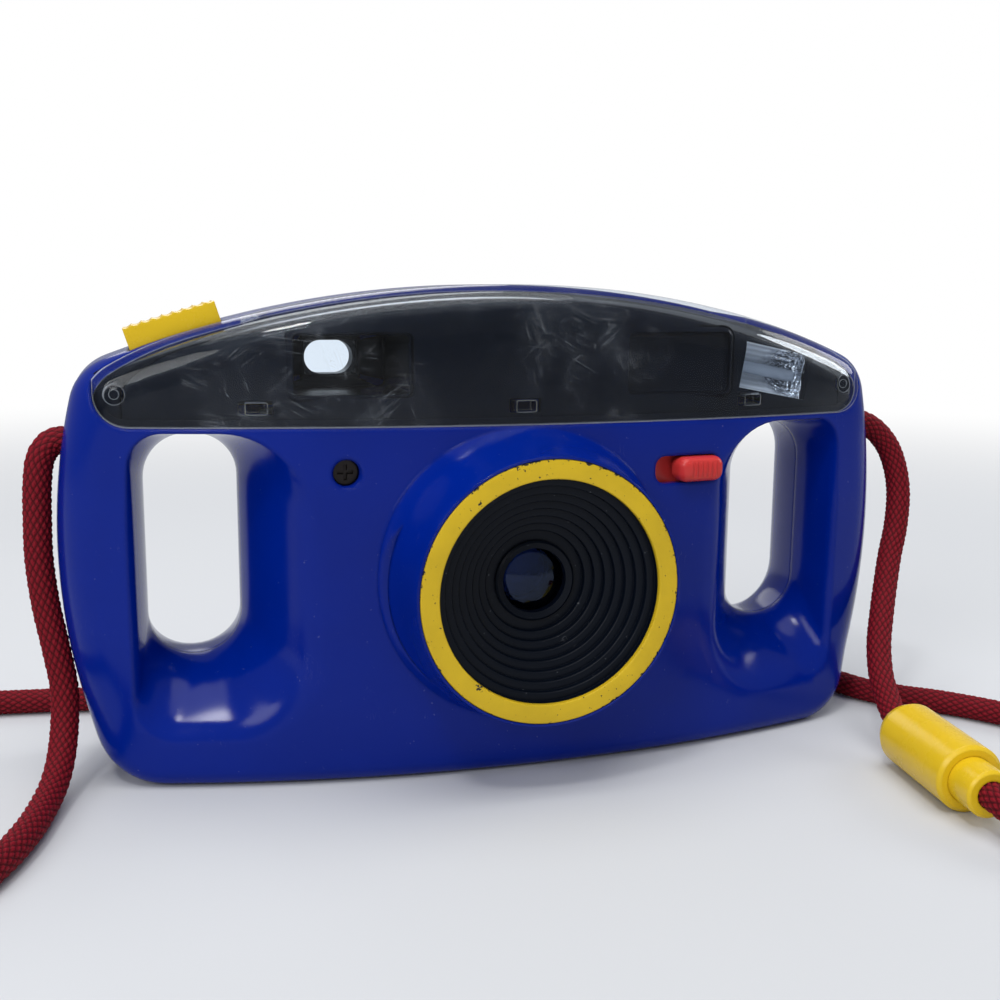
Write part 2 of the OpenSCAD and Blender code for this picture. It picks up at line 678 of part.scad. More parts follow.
// Side vectors carried along the points without twist
function carried(p, i, u) = i >= len(p) ? [] :
  let (t = tangent(p, i), v = unit(u - (u * t) * t)) concat([v], carried(p, i + 1, v));
module tube(p, r, sides, start, finish) {
  n = len(p);
  t0 = tangent(p, 0);
  side = carried(p, 0, abs(t0.z) > 0.7 ? [1, 0, 0] : [0, 0, 1]);
  rings = [for (i = [0:n - 1]) let (t = i == 0 ? start : i == n - 1 ? finish : tangent(p, i),
    u = unit(side[i] - (side[i] * unit(t)) * unit(t)), v = cross(unit(t), u))
    [for (j = [0:sides - 1]) p[i] + r * (cos(360 * j / sides) * u + sin(360 * j / sides) * v)]];
  polyhedron([for (q = rings) each q], concat([[for (j = [0:sides - 1]) j]],
    [for (f = loft_faces(sides, n)) [f[2], f[1], f[0]]], [[for (j = [sides - 1:-1:0]) (n - 1) * sides + j]]), convexity = 6);
}

module release_spring() {
  color(steel) tube(coil_pts, wire_r, 6, [0, 1, 0.1], [0, 1, 0.1]);
}

module flash_switch() {
  base_y = wall + move_gap + 0.3;
  color(red) on_switch() union() {
    translate([-10.5, base_y, -4.6]) cube([20.1, 1.2, 9.2]);
    difference() {
      translate([switch_shift - switch_l / 2, -3, -slot_h / 2 + move_gap]) cube([switch_l, base_y + 3.2, slot_h - 2 * move_gap]);
      for (i = [-2:2]) translate([switch_shift + i * 2.1, -3.4, 0]) rotate([0, 0, 45]) cube([1, 1, 20], center = true);
    }
  }
}

// Flash

module flash_reflector() {
  color(steel) on_flash() difference() {
    translate([-flash_w / 2 - 0.75, 1.4, -flash_h / 2 - 0.75]) cube([flash_w + 1.5, 8, flash_h + 1.5]);
    rotate([0, 90, 0]) linear_extrude(flash_w - 1, center = true) polygon(concat(
      [for (i = [-8:8]) [i * flash_h / 2 / 8, 8.4 - 7.6 * i * i / 64]]));
    rotate([0, 90, 0]) cylinder(r = 1.5, h = 40, center = true, $fn = 24);
    translate([0, 5.6, 0]) rotate([0, 90, 0]) cylinder(r = 1.5, h = 40, center = true, $fn = 24);
  }
}

module flash_tube() {
  color(clear) on_flash() translate([0, 5.6, 0]) rotate([0, 90, 0]) cylinder(r = 1.5 - run_gap, h = flash_w + 1.2, center = true, $fn = 24);
}

module flash_board() {
  color(green) translate([17 * wide, board_y, 81.5 * tall]) cube([40 * wide, 1.6, 16.5 * tall]);
}

module flash_capacitor() {
  color(black) translate([18 * wide, board_y - 4.8, 91 * tall]) rotate([0, 90, 0]) cylinder(r = 4.8, h = 26, $fn = 32);
}

// Film and battery frame, door and advance

module film_frame() {
  color(black) difference() {
    union() {
      translate([-43 * wide, frame_front, 30.5 * tall]) cube([86 * wide, frame_back - frame_front, 32 * tall]);
      translate([-30 * wide, frame_front, 10 * tall]) cube([60 * wide, frame_back - frame_front, 22 * tall]);
      translate([-49 * wide, frame_back - 2, 8 * tall]) cube([98 * wide, 2, 58 * tall]);
      translate([-12.5, plate_y + plate_t, lens_z - 10.5]) cube([25, frame_front - plate_y, 21]);
      translate([wheel_x, wheel_y, 60 * tall]) cylinder(r = 4.5, h = wheel_z - 0.3 - 60 * tall, $fn = 32);
    }
    translate([-41 * wide, frame_front + 2, 32.5 * tall]) cube([82 * wide, 40, 28 * tall]);
    translate([-28 * wide, frame_front + 2, 12 * tall]) cube([56 * wide, 40, bay_h]);
    translate([-11, plate_y, lens_z - 9]) cube([22, frame_front - plate_y, 18]);
    translate([-8.5, plate_y, lens_z - 6.5]) cube([17, 40, 13]);
    translate([wheel_x, wheel_y, 50 * tall]) cylinder(r = 2 + run_gap, h = 40, $fn = 32);
  }
}

module film_door() {
  color(blue) difference() {
    union() {
      translate([-door_half_w, frame_back + move_gap, door_low_z])
        cube([2 * door_half_w, wall - move_gap, door_top_z - door_low_z]);
      translate([hinge_x, hinge_y, knuckle_low_z + move_gap / 2]) cylinder(r = knuckle_r, h = knuckle_l - move_gap, $fn = 32);
      translate([door_half_w - 2, rear_depth - 1.6, knuckle_low_z + move_gap / 2]) cube([3.4, 2.6, knuckle_l - move_gap]);
    }
    translate([hinge_x, hinge_y, 0]) cylinder(r = pin_r + run_gap, h = 80, $fn = 24);
    along_y(0, lens_z, 0, 40) rounded(14, 8, 1.5);
    along_y(0, lens_z, 0, rear_depth - 1.2) rounded(17, 11, 2);
  }
}

module film_window() {
  color(clear) union() {
    along_y(0, lens_z, frame_back + move_gap + 0.2, rear_depth - 0.2) rounded(13.9, 7.9, 1.45);
    along_y(0, lens_z, frame_back + move_gap + 0.2, rear_depth - 1.2) rounded(16.9, 10.9, 1.95);
  }
}

module door_hinge_pin() {
  color(steel) translate([hinge_x, hinge_y, door_low_z]) cylinder(r = pin_r, h = door_top_z - door_low_z, $fn = 24);
}

module advance_wheel() {
  color(black) translate([wheel_x, wheel_y, 0]) union() {
    difference() {
      translate([0, 0, wheel_z]) cylinder(r = wheel_r, h = wheel_t, $fn = 72);
      for (a = [0:15:345]) rotate([0, 0, a]) translate([wheel_r + 0.3, 0, wheel_z - 1]) cylinder(r = 0.9, h = 10, $fn = 16);
    }
    translate([0, 0, 53.5 * tall]) cylinder(r = 2, h = wheel_z + 0.7 - 53.5 * tall, $fn = 32);
  }
}

module drive_pinion() {
  color(yellow) translate([wheel_x, wheel_y, 54 * tall]) difference() {
    union() {
      cylinder(r = 3.6, h = 5.5, $fn = 32);
      for (a = [0:36:324]) rotate([0, 0, a]) translate([3, -0.6, 0]) cube([2.2, 1.2, 5.5]);
    }
    translate([0, 0, -1]) cylinder(r = 2 + run_gap / 2, h = 10, $fn = 32);
  }
}

cell_z = 19.1 * tall;
bay_h = 16.5 * tall;
cell_r = bay_h / 2 - 1.15;
module battery_cell() {
  color(yellow) translate([-24.5 * wide, 0, cell_z]) rotate([0, 90, 0]) union() {
    cylinder(r = cell_r, h = 48 * wide, $fn = 48);
    cylinder(r = 2.7, h = 49.5 * wide, $fn = 32);
  }
}

module battery_contacts() {
  color(steel) union() {
    translate([-28 * wide, -5, cell_z - 5.1]) cube([0.6, 10, 10]);
    translate([-28 * wide + 0.4, 0, cell_z]) rotate([0, 90, 0]) cylinder(r = 3, h = 3.5 * wide - 0.4, $fn = 32);
    translate([28 * wide - 0.6, -5, cell_z - 5.1]) cube([0.6, 10, 10]);
    translate([25 * wide, 0, cell_z]) rotate([0, 90, 0]) cylinder(r = 2, h = 3 * wide - 0.4, $fn = 32);
  }
}

// Screws

module front_screw() {
  color(steel) difference() {
    union() {
      along_y(front_screw_x, front_screw_z, -21.1, -19.5) circle(2.7, $fn = 32);
      along_y(front_screw_x, front_screw_z, -19.8, 3.5) circle(1.4, $fn = 24);
    }
    along_y(front_screw_x, front_screw_z, -22, -20.3) square([0.7, 3.4], center = true);
    along_y(front_screw_x, front_screw_z, -22, -20.3) square([3.4, 0.7], center = true);
  }
}

module case_screws() {
  color(steel) for (p = case_screws_at) difference() {
    union() {
      along_y(p[0], p[1], rear_depth - 4.5, rear_depth - 2.6) circle(2.8, $fn = 32);
      along_y(p[0], p[1], -8, rear_depth - 4) circle(1.4, $fn = 24);
    }
    along_y(p[0], p[1], rear_depth - 3.6, 30) square([0.7, 3.4], center = true);
    along_y(p[0], p[1], rear_depth - 3.6, 30) square([3.4, 0.7], center = true);
  }
}

// Strap

knot_x = half_w - 5.8;
module strap_knots() {
  color(red) for (s = [-1, 1]) translate([s * knot_x, 0, strap_z]) rotate([0, -90 * s, 0])
    rotate_extrude($fn = 32) polygon([[0, 0], [4, 0], [4.5, 1.5], [4.5, 4], [3.6, 6], [0, 6]]);
}

conn_dir = [-sin(conn_turn), -cos(conn_turn), 0];
// Route points are given for the standard body and follow its sides
function placed(p) = [p.x + sign(p.x) * half_w * (1 - 1 / wide), p.y, p.z > barrel_r + 1 ? p.z * tall : p.z];
short_route = [[100, 0, 75.4], [104.5, -0.3, 73], [108.3, -0.9, 68.5], [110.3, -2, 62.5],
  [110.6, -3.4, 56], [109, -5.4, 48], [106, -8, 41], [102.5, -12, 34.5], [98.5, -17, 28], [94.5, -22.5, 21.5],
  [91.6, -28.5, 15.5], [89.8, -35, 10.8], [88.8, -39.5, 8.6]];
short_pts = concat([[knot_x, 0, strap_z]], [for (p = short_route) placed(p)], [conn_at, conn_at + 10 * conn_dir]);
conn_end = conn_at + (barrel_l + collar_l) * conn_dir;
long_route = [[-99.5, 0, 75.6], [-102.3, -0.3, 72.6], [-103.4, -0.6, 67], [-103.8, -1, 59],
  [-103.9, -1.4, 50], [-103, -2, 40], [-101.3, -3, 30], [-100, -4, 21], [-100.2, -6.5, 13.5], [-101, -11.5, 7.6],
  [-102.2, -18, 4.4], [-103.8, -26, 3.1], [-106, -37, cord_r], [-109.8, -49, cord_r], [-115, -59, cord_r], [-124, -66, cord_r],
  [-136, -66.5, cord_r], [-146, -60, cord_r], [-151, -48, cord_r], [-152.5, -32, cord_r], [-153, -14, cord_r],
  [-153, 4, cord_r], [-151.5, 21, cord_r], [-146, 34.5, cord_r], [-136, 42.5, cord_r], [-124, 45, cord_r],
  [-109, 43.6, cord_r], [-92, 41, cord_r], [-74, 38.5, cord_r], [-56, 36.5, cord_r], [-38, 35, cord_r], [-20, 34, cord_r],
  [-2, 33.4, cord_r], [16, 33, cord_r], [34, 32.4, cord_r], [52, 31.4, cord_r], [69, 29.6, cord_r], [84, 25.6, cord_r],
  [94.5, 17, cord_r], [99.5, 6, cord_r], [103.6, -4.2, cord_r], [109.5, -11.5, cord_r], [116, -17, cord_r], [122, -23.5, cord_r],
  [127.2, -30.5, cord_r], [133, -41, cord_r], [137.5, -54, cord_r], [138.5, -68, cord_r], [136, -82, cord_r],
  [129.5, -95, cord_r], [119.5, -104.5, cord_r], [107.5, -109, cord_r], [95.5, -107, cord_r + 0.2], [87, -100, 4],
  [83.2, -91.5, 6]];
long_pts = concat([[-knot_x, 0, strap_z]], [for (p = long_route) placed(p)], [conn_end, conn_end - 10 * conn_dir]);

module strap_short() {
  color(red) tube(short_pts, cord_r, 10, [1, 0, 0], conn_dir);
}

module strap_long() {
  color(red) tube(long_pts, cord_r, 10, [-1, 0, 0], -conn_dir);
}

module on_connector() {
  translate(conn_at) rotate([0, 0, -conn_turn]) rotate([90, 0, 0]) children();
}

module connector_barrel() {
  color(yellow) on_connector() rotate_extrude($fn = 64) polygon([[cord_r + run_gap, 0], [5, 0], [6.6, 1], [barrel_r, 3.2],
    [barrel_r, barrel_l - 0.8], [barrel_r - 0.8, barrel_l], [collar_r + run_gap, barrel_l], [collar_r + run_gap, 14],
    [0, 14], [0, 10], [cord_r + run_gap, 10]]);
}

module connector_plug() {
  color(yellow) on_connector() rotate_extrude($fn = 64) polygon([[0, 14.2], [collar_r - 0.6, 14.2], [collar_r, 15],
    [collar_r, barrel_l + collar_l - 0.6], [collar_r - 0.6, barrel_l + collar_l], [cord_r + run_gap, barrel_l + collar_l],
    [cord_r + run_gap, barrel_l + collar_l - 10], [0, barrel_l + collar_l - 10]]);
}

front_shell();
rear_shell();
top_cover();
viewfinder_mask();
lens_ring();
lens_hood();
lens_retainer();
taking_lens();
shutter_plate();
shutter_blade();
shutter_button();
release_bar();
release_spring();
flash_switch();
flash_reflector();
flash_tube();
flash_board();
flash_capacitor();
film_frame();
film_door();
film_window();
door_hinge_pin();
advance_wheel();
drive_pinion();
eyepiece();
eyepiece_lens();
battery_cell();
battery_contacts();
front_screw();
case_screws();
strap_knots();
strap_long();
strap_short();
connector_barrel();
connector_plug();
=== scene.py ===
"""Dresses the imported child's film camera: shells, clear cover, painted ring, braided strap and finishes."""
import json
import logging
import math
from contextlib import contextmanager
from dataclasses import dataclass, field
from enum import Enum
from typing import Iterator, Optional, Sequence, Union

import bpy
from mathutils import Matrix, Vector
from mathutils.geometry import delaunay_2d_cdt


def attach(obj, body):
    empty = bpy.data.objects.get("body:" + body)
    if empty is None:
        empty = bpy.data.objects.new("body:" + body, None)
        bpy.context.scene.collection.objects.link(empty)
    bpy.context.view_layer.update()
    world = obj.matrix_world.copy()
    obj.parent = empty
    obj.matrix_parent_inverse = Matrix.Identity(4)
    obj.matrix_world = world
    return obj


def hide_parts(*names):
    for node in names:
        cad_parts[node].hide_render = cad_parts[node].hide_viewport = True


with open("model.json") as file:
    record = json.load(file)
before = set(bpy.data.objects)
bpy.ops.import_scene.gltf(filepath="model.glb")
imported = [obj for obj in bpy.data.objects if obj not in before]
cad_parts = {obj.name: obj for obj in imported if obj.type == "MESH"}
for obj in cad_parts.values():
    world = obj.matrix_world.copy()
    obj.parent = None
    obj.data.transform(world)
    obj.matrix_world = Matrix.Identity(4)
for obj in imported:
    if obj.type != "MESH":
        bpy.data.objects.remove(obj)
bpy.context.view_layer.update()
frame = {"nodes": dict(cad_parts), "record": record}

LOG = logging.getLogger("camera")
MM = 0.001
BOTH_SIDES = (-1, 1)
LENS_HEIGHT = 46.0
RING_INNER = 24.3
RING_OUTER = 28.5
CORD_STRANDS = 12
CORD_PITCH = 5.2
WHITE = (1.0, 1.0, 1.0, 1.0)
Point = tuple[float, float, float]
Colour = tuple[float, float, float]
Paint = tuple[float, float, float, float]
Loop = list[tuple[float, float]]
Piece = bpy.types.Object
Material = bpy.types.Material
Number = Union["Value", float]


class Cut(Enum):
    """How a tool shape acts on a piece."""

    TAKE = "DIFFERENCE"
    ADD = "UNION"
    KEEP = "INTERSECT"


class Value:
    """A shader socket on which Python's operators add Math nodes."""

    def __init__(self, shader: "Shader", socket: bpy.types.NodeSocket) -> None:
        """Keeps the socket and the tree it belongs to."""
        self.shader = shader
        self.socket = socket

    def math(self, operation: str, *others: Number) -> "Value":
        """Adds one Math node.

        Args:
            operation: the Math node's operation.
            others: its second and third inputs.

        Returns:
            The node's result.
        """
        return self.shader.node("ShaderNodeMath", {"operation": operation}, dict(enumerate((self, *others))))

    def __add__(self, other: Number) -> "Value":
        """Sum."""
        return self.math("ADD", other)

    def __sub__(self, other: Number) -> "Value":
        """Difference."""
        return self.math("SUBTRACT", other)

    def __rsub__(self, other: float) -> "Value":
        """Difference from a number."""
        return self.shader.node("ShaderNodeMath", {"operation": "SUBTRACT"}, {0: other, 1: self})

    def __mul__(self, other: Number) -> "Value":
        """Product."""
        return self.math("MULTIPLY", other)

    def __truediv__(self, other: Number) -> "Value":
        """Quotient."""
        return self.math("DIVIDE", other)

    def step(self, low: float, high: float) -> "Value":
        """Smooth step from 0 at low to 1 at high."""
        return self.shader.node("ShaderNodeMapRange", {"interpolation_type": "SMOOTHSTEP", "clamp": True},
                                {"Value": self, "From Min": low, "From Max": high})

    def hairs(self, fine: float, wide: float) -> "Value":
        """Thin lines where a noise passes its middle, full within fine of it and gone beyond wide."""
        return 1 - (self - 0.5).math("ABSOLUTE").step(fine, wide)


class Shader:
    """The node tree of one material, or of the world."""

    def __init__(self, name: str, world: bool = False) -> None:
        """Starts an empty node tree with an output."""
        self.owner = (bpy.data.worlds if world else bpy.data.materials).new(name)
        self.owner.use_nodes = True
        self.tree = self.owner.node_tree
        self.tree.nodes.clear()
        self.output = self.tree.nodes.new("ShaderNodeOutputWorld" if world else "ShaderNodeOutputMaterial")

    def node(self, kind: str, settings: Optional[dict] = None, inputs: Optional[dict] = None,
             result: Union[int, str] = 0) -> Value:
        """Adds a node.

        Args:
            kind: the node's type.
            settings: properties, set before the inputs.
            inputs: values or links by socket name or number.
            result: the output that is wanted.

        Returns:
            That output.
        """
        made = self.tree.nodes.new(kind)
        for key, value in (settings or {}).items():
            setattr(made, key, value)
        for key, value in (inputs or {}).items():
            if isinstance(value, Value):
                self.tree.links.new(value.socket, made.inputs[key])
            else:
                made.inputs[key].default_value = value
        return Value(self, made.outputs[result])

    def place(self) -> Value:
        """Object coordinates, in metres."""
        return self.node("ShaderNodeTexCoord", result="Object")

    def stretched(self, scale: Point, turn: Point = (0.0, 0.0, 0.0), turn_first: bool = False) -> Value:
        """Object coordinates, scaled and then turned.

        Args:
            scale: the factors along X, Y and Z.
            turn: the angles about X, Y and Z.
            turn_first: turns back first and then divides by the scale.

        Returns:
            The coordinates.
        """
        return self.node("ShaderNodeMapping", {"vector_type": "TEXTURE" if turn_first else "POINT"},
                         {"Vector": self.place(), "Rotation": turn, "Scale": scale})

    def noise(self, scale: float, detail: float = 3.0, rough: float = 0.55,
              where: Optional[Value] = None) -> Value:
        """Noise from 0 to 1 at a scale in cells per metre."""
        inputs = {"Vector": where or self.place(), "Scale": scale, "Detail": detail, "Roughness": rough}
        return self.node("ShaderNodeTexNoise", {"noise_dimensions": "3D"}, inputs)

    def blend(self, factor: Number, first: Union[Value, Paint], second: Union[Value, Paint]) -> Value:
        """Mixes two colours."""
        return self.node("ShaderNodeMix", {"data_type": "RGBA"}, {0: factor, 6: first, 7: second}, 2)

    def layer(self, factor: Number, below: Value, above: Value) -> Value:
        """Lays one surface over another."""
        return self.node("ShaderNodeMixShader", None, {0: factor, 1: below, 2: above})

    def split(self, vector: Value) -> list[Value]:
        """The three numbers of a vector."""
        made = self.node("ShaderNodeSeparateXYZ", None, {0: vector}).socket.node
        return [Value(self, socket) for socket in made.outputs]

    def bump(self, height: Value, depth: float, normal: Optional[Value] = None) -> Value:
        """A bump of the given depth in metres."""
        inputs = {"Height": height, "Strength": 1.0, "Distance": depth}
        if normal:
            inputs["Normal"] = normal
        return self.node("ShaderNodeBump", None, inputs)

    def round_edges(self, radius: float) -> Value:
        """A normal that turns softly round sharp edges."""
        return self.node("ShaderNodeBevel", {"samples": 4}, {"Radius": radius})

    def gloss(self, colour: Paint, roughness: float, normal: Value) -> Value:
        """A mirroring surface."""
        inputs = {"Color": colour, "Roughness": roughness, "Normal": normal}
        return self.node("ShaderNodeBsdfGlossy", None, inputs)

    def clear(self, colour: Paint) -> Value:
        """A surface that lets light straight through."""
        return self.node("ShaderNodeBsdfTransparent", None, {"Color": colour})

    def seen(self) -> Value:
        """1 for what is seen straight on or through something clear."""
        direct = self.node("ShaderNodeLightPath", result="Is Camera Ray")
        return direct.math("MAXIMUM", self.node("ShaderNodeLightPath", result="Is Transmission Ray"))

    def principled(self, **inputs: Union[Value, float, tuple]) -> Value:
        """A Principled shader; socket names are written with underscores."""
        named = {key.replace("_", " "): value for key, value in inputs.items()}
        return self.node("ShaderNodeBsdfPrincipled", None, named)

    def done(self, surface: Value) -> Union[Material, bpy.types.World]:
        """Joins the surface to the output and returns the material or world."""
        self.tree.links.new(surface.socket, self.output.inputs["Surface"])
        return self.owner


def rgba(colour: Colour) -> Paint:
    """A colour with full alpha."""
    return (*colour, 1.0)


def shade(colour: Colour, by: float) -> Paint:
    """A colour made lighter or darker, with full alpha."""
    return tuple(min(1.0, part * by) for part in colour) + (1.0,)


@dataclass(frozen=True)
class MouldedPlastic:
    """Coloured plastic from a mould: gloss, slight ripple, handling marks and soft edges."""

    name: str
    colour: Colour
    roughness: float = 0.2
    ripple: float = 0.00002
    grain: float = 0.0
    marks: float = 0.5
    edge: float = 0.0004
    shine: float = 0.3
    dust: Paint = (0.55, 0.58, 0.64, 1.0)

    def make(self) -> Material:
        """Builds the material."""
        sh = Shader(self.name)
        cloud = sh.noise(28, 3)
        smear = sh.noise(90, 5, 0.7)
        slanted = sh.stretched((1.0, 14.0, 1.0), (0.3, 0.5, 0.9))
        scratch = sh.noise(220, 2, 0.5, slanted).hairs(0.002, 0.007) * smear.step(0.58, 0.68)
        speck = sh.noise(1100, 2, 0.6).step(0.735, 0.76)
        base = sh.blend(cloud.step(0.3, 0.7), shade(self.colour, 0.93), shade(self.colour, 1.06))
        colour = sh.blend((scratch * 0.14 + speck * 0.2) * self.marks, base, self.dust)
        rough = smear.step(0.35, 0.75) * (0.07 * self.marks) + scratch * (0.2 * self.marks) + self.roughness
        relief = cloud * 0.8 + sh.noise(1500, 2) * self.grain
        normal = sh.bump(relief, self.ripple, sh.round_edges(self.edge))
        return sh.done(sh.principled(Base_Color=colour, Roughness=rough, Normal=normal,
                                     Specular_IOR_Level=self.shine))


@dataclass(frozen=True)
class ChippedPaint:
    """The lens ring: flat yellow paint, nibbled at the outer rim and pitted down to dark plastic."""

    name: str
    colour: Colour
    inner: float = RING_INNER * MM
    outer: float = RING_OUTER * MM
    axis_height: float = LENS_HEIGHT * MM
    bare: Paint = (0.022, 0.02, 0.024, 1.0)

    def make(self) -> Material:
        """Builds the material."""
        sh = Shader(self.name)
        x, _, z = sh.split(sh.place())
        rise = z - self.axis_height
        radius = (x * x + rise * rise).math("SQRT")
        inner_rim = 1 - (radius - self.inner).step(0.0, 0.0003)
        outer_rim = (radius - (self.outer - 0.0007)).step(0.0, 0.0006)
        worn = sh.noise(900, 3, 0.6) * 0.62 + sh.noise(130, 2) * 0.38
        chip = (worn + (inner_rim * 0.3 + outer_rim) * 0.085).step(0.65, 0.67)
        bare = chip.math("MAXIMUM", sh.noise(1700, 2, 0.5).step(0.715, 0.735))
        cloud = sh.noise(60, 4, 0.6)
        paint = sh.blend(cloud.step(0.35, 0.7), shade(self.colour, 0.9), shade(self.colour, 1.06))
        rough = bare * 0.25 + cloud * 0.18 + 0.3
        normal = sh.bump(1 - bare, 0.00006, sh.round_edges(0.0003))
        colour = sh.blend(bare, paint, self.bare)
        return sh.done(sh.principled(Base_Color=colour, Roughness=rough, Normal=normal,
                                     Specular_IOR_Level=0.25))


@dataclass(frozen=True)
class ClearPlastic:
    """Clear moulded plastic with fine scratches, a little dust, and edges made pale by a painted highlight.
    """

    name: str
    tint: Colour = (0.93, 0.96, 0.99)
    wear: float = 1.0
    haze: float = 0.006
    # strength of the painted highlight on the edges
    rim: float = 0.42
    mirror: float = 1.27
    # colour of the dust, and also of the painted edge highlight
    dust: Paint = (0.72, 0.76, 0.82, 1.0)
    scratches: tuple = ((0.45, 30.0), (-0.7, 38.0), (0.12, 26.0), (1.25, 33.0))  # turn, scale

    def make(self) -> Material:
        """Builds the material."""
        sh = Shader(self.name)
        area = sh.noise(34, 4, 0.6)
        worn = area.step(0.46, 0.66)
        lines = None
        for turn, scale in self.scratches:
            slanted = sh.stretched((1.0, 1.0, 0.02), (0.0, turn, 0.0), turn_first=True)
            line = sh.noise(scale, 1, 0.4, slanted).hairs(0.004, 0.018)
            line = line * sh.noise(scale * 4, 2, 0.5).step(0.54, 0.6)
            lines = lines.math("MAXIMUM", line) if lines else line
        scratch = lines * worn * self.wear
        specks = sh.noise(850, 2, 0.6).step(0.72, 0.78) * area.step(0.4, 0.7) * self.wear
        normal = sh.bump(sh.noise(22, 2), 0.00003)
        facing = sh.node("ShaderNodeFresnel", None, {"IOR": self.mirror, "Normal": normal})
        inside = sh.node("ShaderNodeNewGeometry", result="Backfacing")
        film = sh.layer(facing * (1 - inside * 0.8), sh.clear(rgba(self.tint)), sh.gloss(WHITE, 0.05, normal))
        matt = sh.node("ShaderNodeBsdfDiffuse", None, {"Color": self.dust})
        flat = sh.node("ShaderNodeNewGeometry", result="Normal")
        bend = sh.node("ShaderNodeVectorMath", {"operation": "DOT_PRODUCT"},
                       {0: sh.round_edges(0.0005), 1: flat}, "Value")
        # painted highlight: pale diffuse colour where the softened normal turns away from the flat one, along
        # the edges
        rim = (1 - bend).step(0.015, 0.2) * self.rim
        dust_and_edge_highlight = (scratch * 0.11).math("MAXIMUM", specks * 0.26).math("MAXIMUM", rim) + worn * self.haze
        return sh.done(sh.layer(dust_and_edge_highlight, film, matt))


@dataclass(frozen=True)
class CoatedGlass:
    """A lens with a bluish coating, its light through tinted dark as painted shade of the camera's inside."""

    name: str
    tint: Colour
    # painted shade: the tint of light through the lens, dark for the camera's inside
    inside: Paint = (0.2, 0.28, 0.46, 1.0)

    def make(self) -> Material:
        """Builds the material."""
        sh = Shader(self.name)
        facing = sh.node("ShaderNodeFresnel", None, {"IOR": 1.62})
        gloss = sh.gloss(rgba(self.tint), 0.03, sh.bump(sh.noise(300, 2), 0.000004))
        # the clear part passes light in the painted-shade tint
        return sh.done(sh.layer(facing * 0.6, sh.clear(self.inside), gloss))


@dataclass(frozen=True)
class DullMetal:
    """Sheet steel or a screw, with brushing and a few dark spots."""

    name: str
    colour: Colour
    roughness: float = 0.32

    def make(self) -> Material:
        """Builds the material."""
        sh = Shader(self.name)
        brushed = sh.noise(600, 3, 0.6, sh.stretched((1.0, 1.0, 18.0)))
        spots = sh.noise(700, 3, 0.6).step(0.62, 0.74)
        colour = sh.blend(spots * 0.6, rgba(self.colour), shade(self.colour, 0.35))
        rough = brushed * 0.16 + spots * 0.2 + (self.roughness - 0.08)
        normal = sh.bump(brushed, 0.000012, sh.round_edges(0.0002))
        return sh.done(sh.principled(Base_Color=colour, Roughness=rough, Metallic=1.0, Normal=normal))


@dataclass(frozen=True)
class RibbedReflector:
    """The flash's bright reflector: fine ribbing along its length with painted shade in its troughs, crinkled
    towards one end.
    """

    name: str
    colour: Colour
    roll: float
    crinkle_at: float
    pitch: float = 0.0011

    def make(self) -> Material:
        """Builds the material."""
        sh = Shader(self.name)
        x, _, z = sh.split(sh.place())
        turn = math.radians(self.roll)
        across = z * math.cos(turn) + x * math.sin(turn)
        rib_height_and_shade = (across * (2 * math.pi / self.pitch)).math("SINE") * 0.5 + 0.5
        end = (x - self.crinkle_at).step(-0.003, 0.003)
        crinkle = sh.noise(420, 2, 0.5, sh.stretched((1.0, 1.0, 0.5))) * end
        # painted shade: the colour darkens in the troughs of the ribbing
        colour = sh.blend(rib_height_and_shade, shade(self.colour, 0.82), rgba(self.colour))
        normal = sh.bump(rib_height_and_shade * 0.35 + crinkle * 9.0, 0.0004)
        return sh.done(sh.principled(Base_Color=colour, Roughness=0.24 - end * 0.1, Metallic=end * 0.6 + 0.35,
                                     Normal=normal))


@dataclass(frozen=True)
class BraidedCord:
    """Braided cord: two sets of strands that cross, on the tube's own UV map."""

    name: str
    colour: Colour
    strands: float = CORD_STRANDS
    pitch: float = CORD_PITCH * MM
    threads: float = 5.0
    sheen: Paint = (0.8, 0.2, 0.25, 1.0)

    def make(self) -> Material:
        """Builds the material."""
        sh = Shader(self.name)
        along, turns, _ = sh.split(sh.node("ShaderNodeUVMap", {"uv_map": "cord"}))
        first = turns * self.strands + along / self.pitch * 2.0
        second = turns * self.strands - along / self.pitch * 2.0
        one = (first * math.pi).math("SINE").math("ABSOLUTE")
        two = (second * math.pi).math("SINE").math("ABSOLUTE")
        over = (first.math("FLOOR") + second.math("FLOOR")).math("PINGPONG", 1.0)
        weave = over * one * two.math("POWER", 0.4) + (1 - over) * two * one.math("POWER", 0.4)
        threads = (over * second + (1 - over) * first) * self.threads
        fibre = (threads * math.pi).math("SINE") * 0.5 + 0.5
        fuzz = sh.noise(2600, 3, 0.7)
        lit = (weave * 0.75 + fuzz * 0.45).step(0.15, 1.1)
        colour = sh.blend(lit, shade(self.colour, 0.3), shade(self.colour, 1.2))
        normal = sh.bump(fibre * 0.25 + fuzz * 0.3, 0.0002)
        return sh.done(sh.principled(Base_Color=colour, Roughness=0.72, Normal=normal, Sheen_Weight=0.03,
                                     Sheen_Roughness=0.4, Sheen_Tint=self.sheen, Specular_IOR_Level=0.2))


@dataclass(frozen=True)
class PrintedJacket:
    """Battery sleeve: a coloured band over a dark one, in satin print."""

    name: str
    colour: Colour
    split_at: float
    dark: Paint = (0.02, 0.02, 0.022, 1.0)

    def make(self) -> Material:
        """Builds the material."""
        sh = Shader(self.name)
        x, _, _ = sh.split(sh.place())
        band = (x - self.split_at).step(-0.0002, 0.0002)
        scuff = sh.noise(420, 4, 0.65)
        normal = sh.bump(scuff, 0.00001, sh.round_edges(0.0003))
        return sh.done(sh.principled(Base_Color=sh.blend(band, rgba(self.colour), self.dark),
                                     Roughness=scuff * 0.2 + 0.25, Metallic=0.35, Normal=normal))


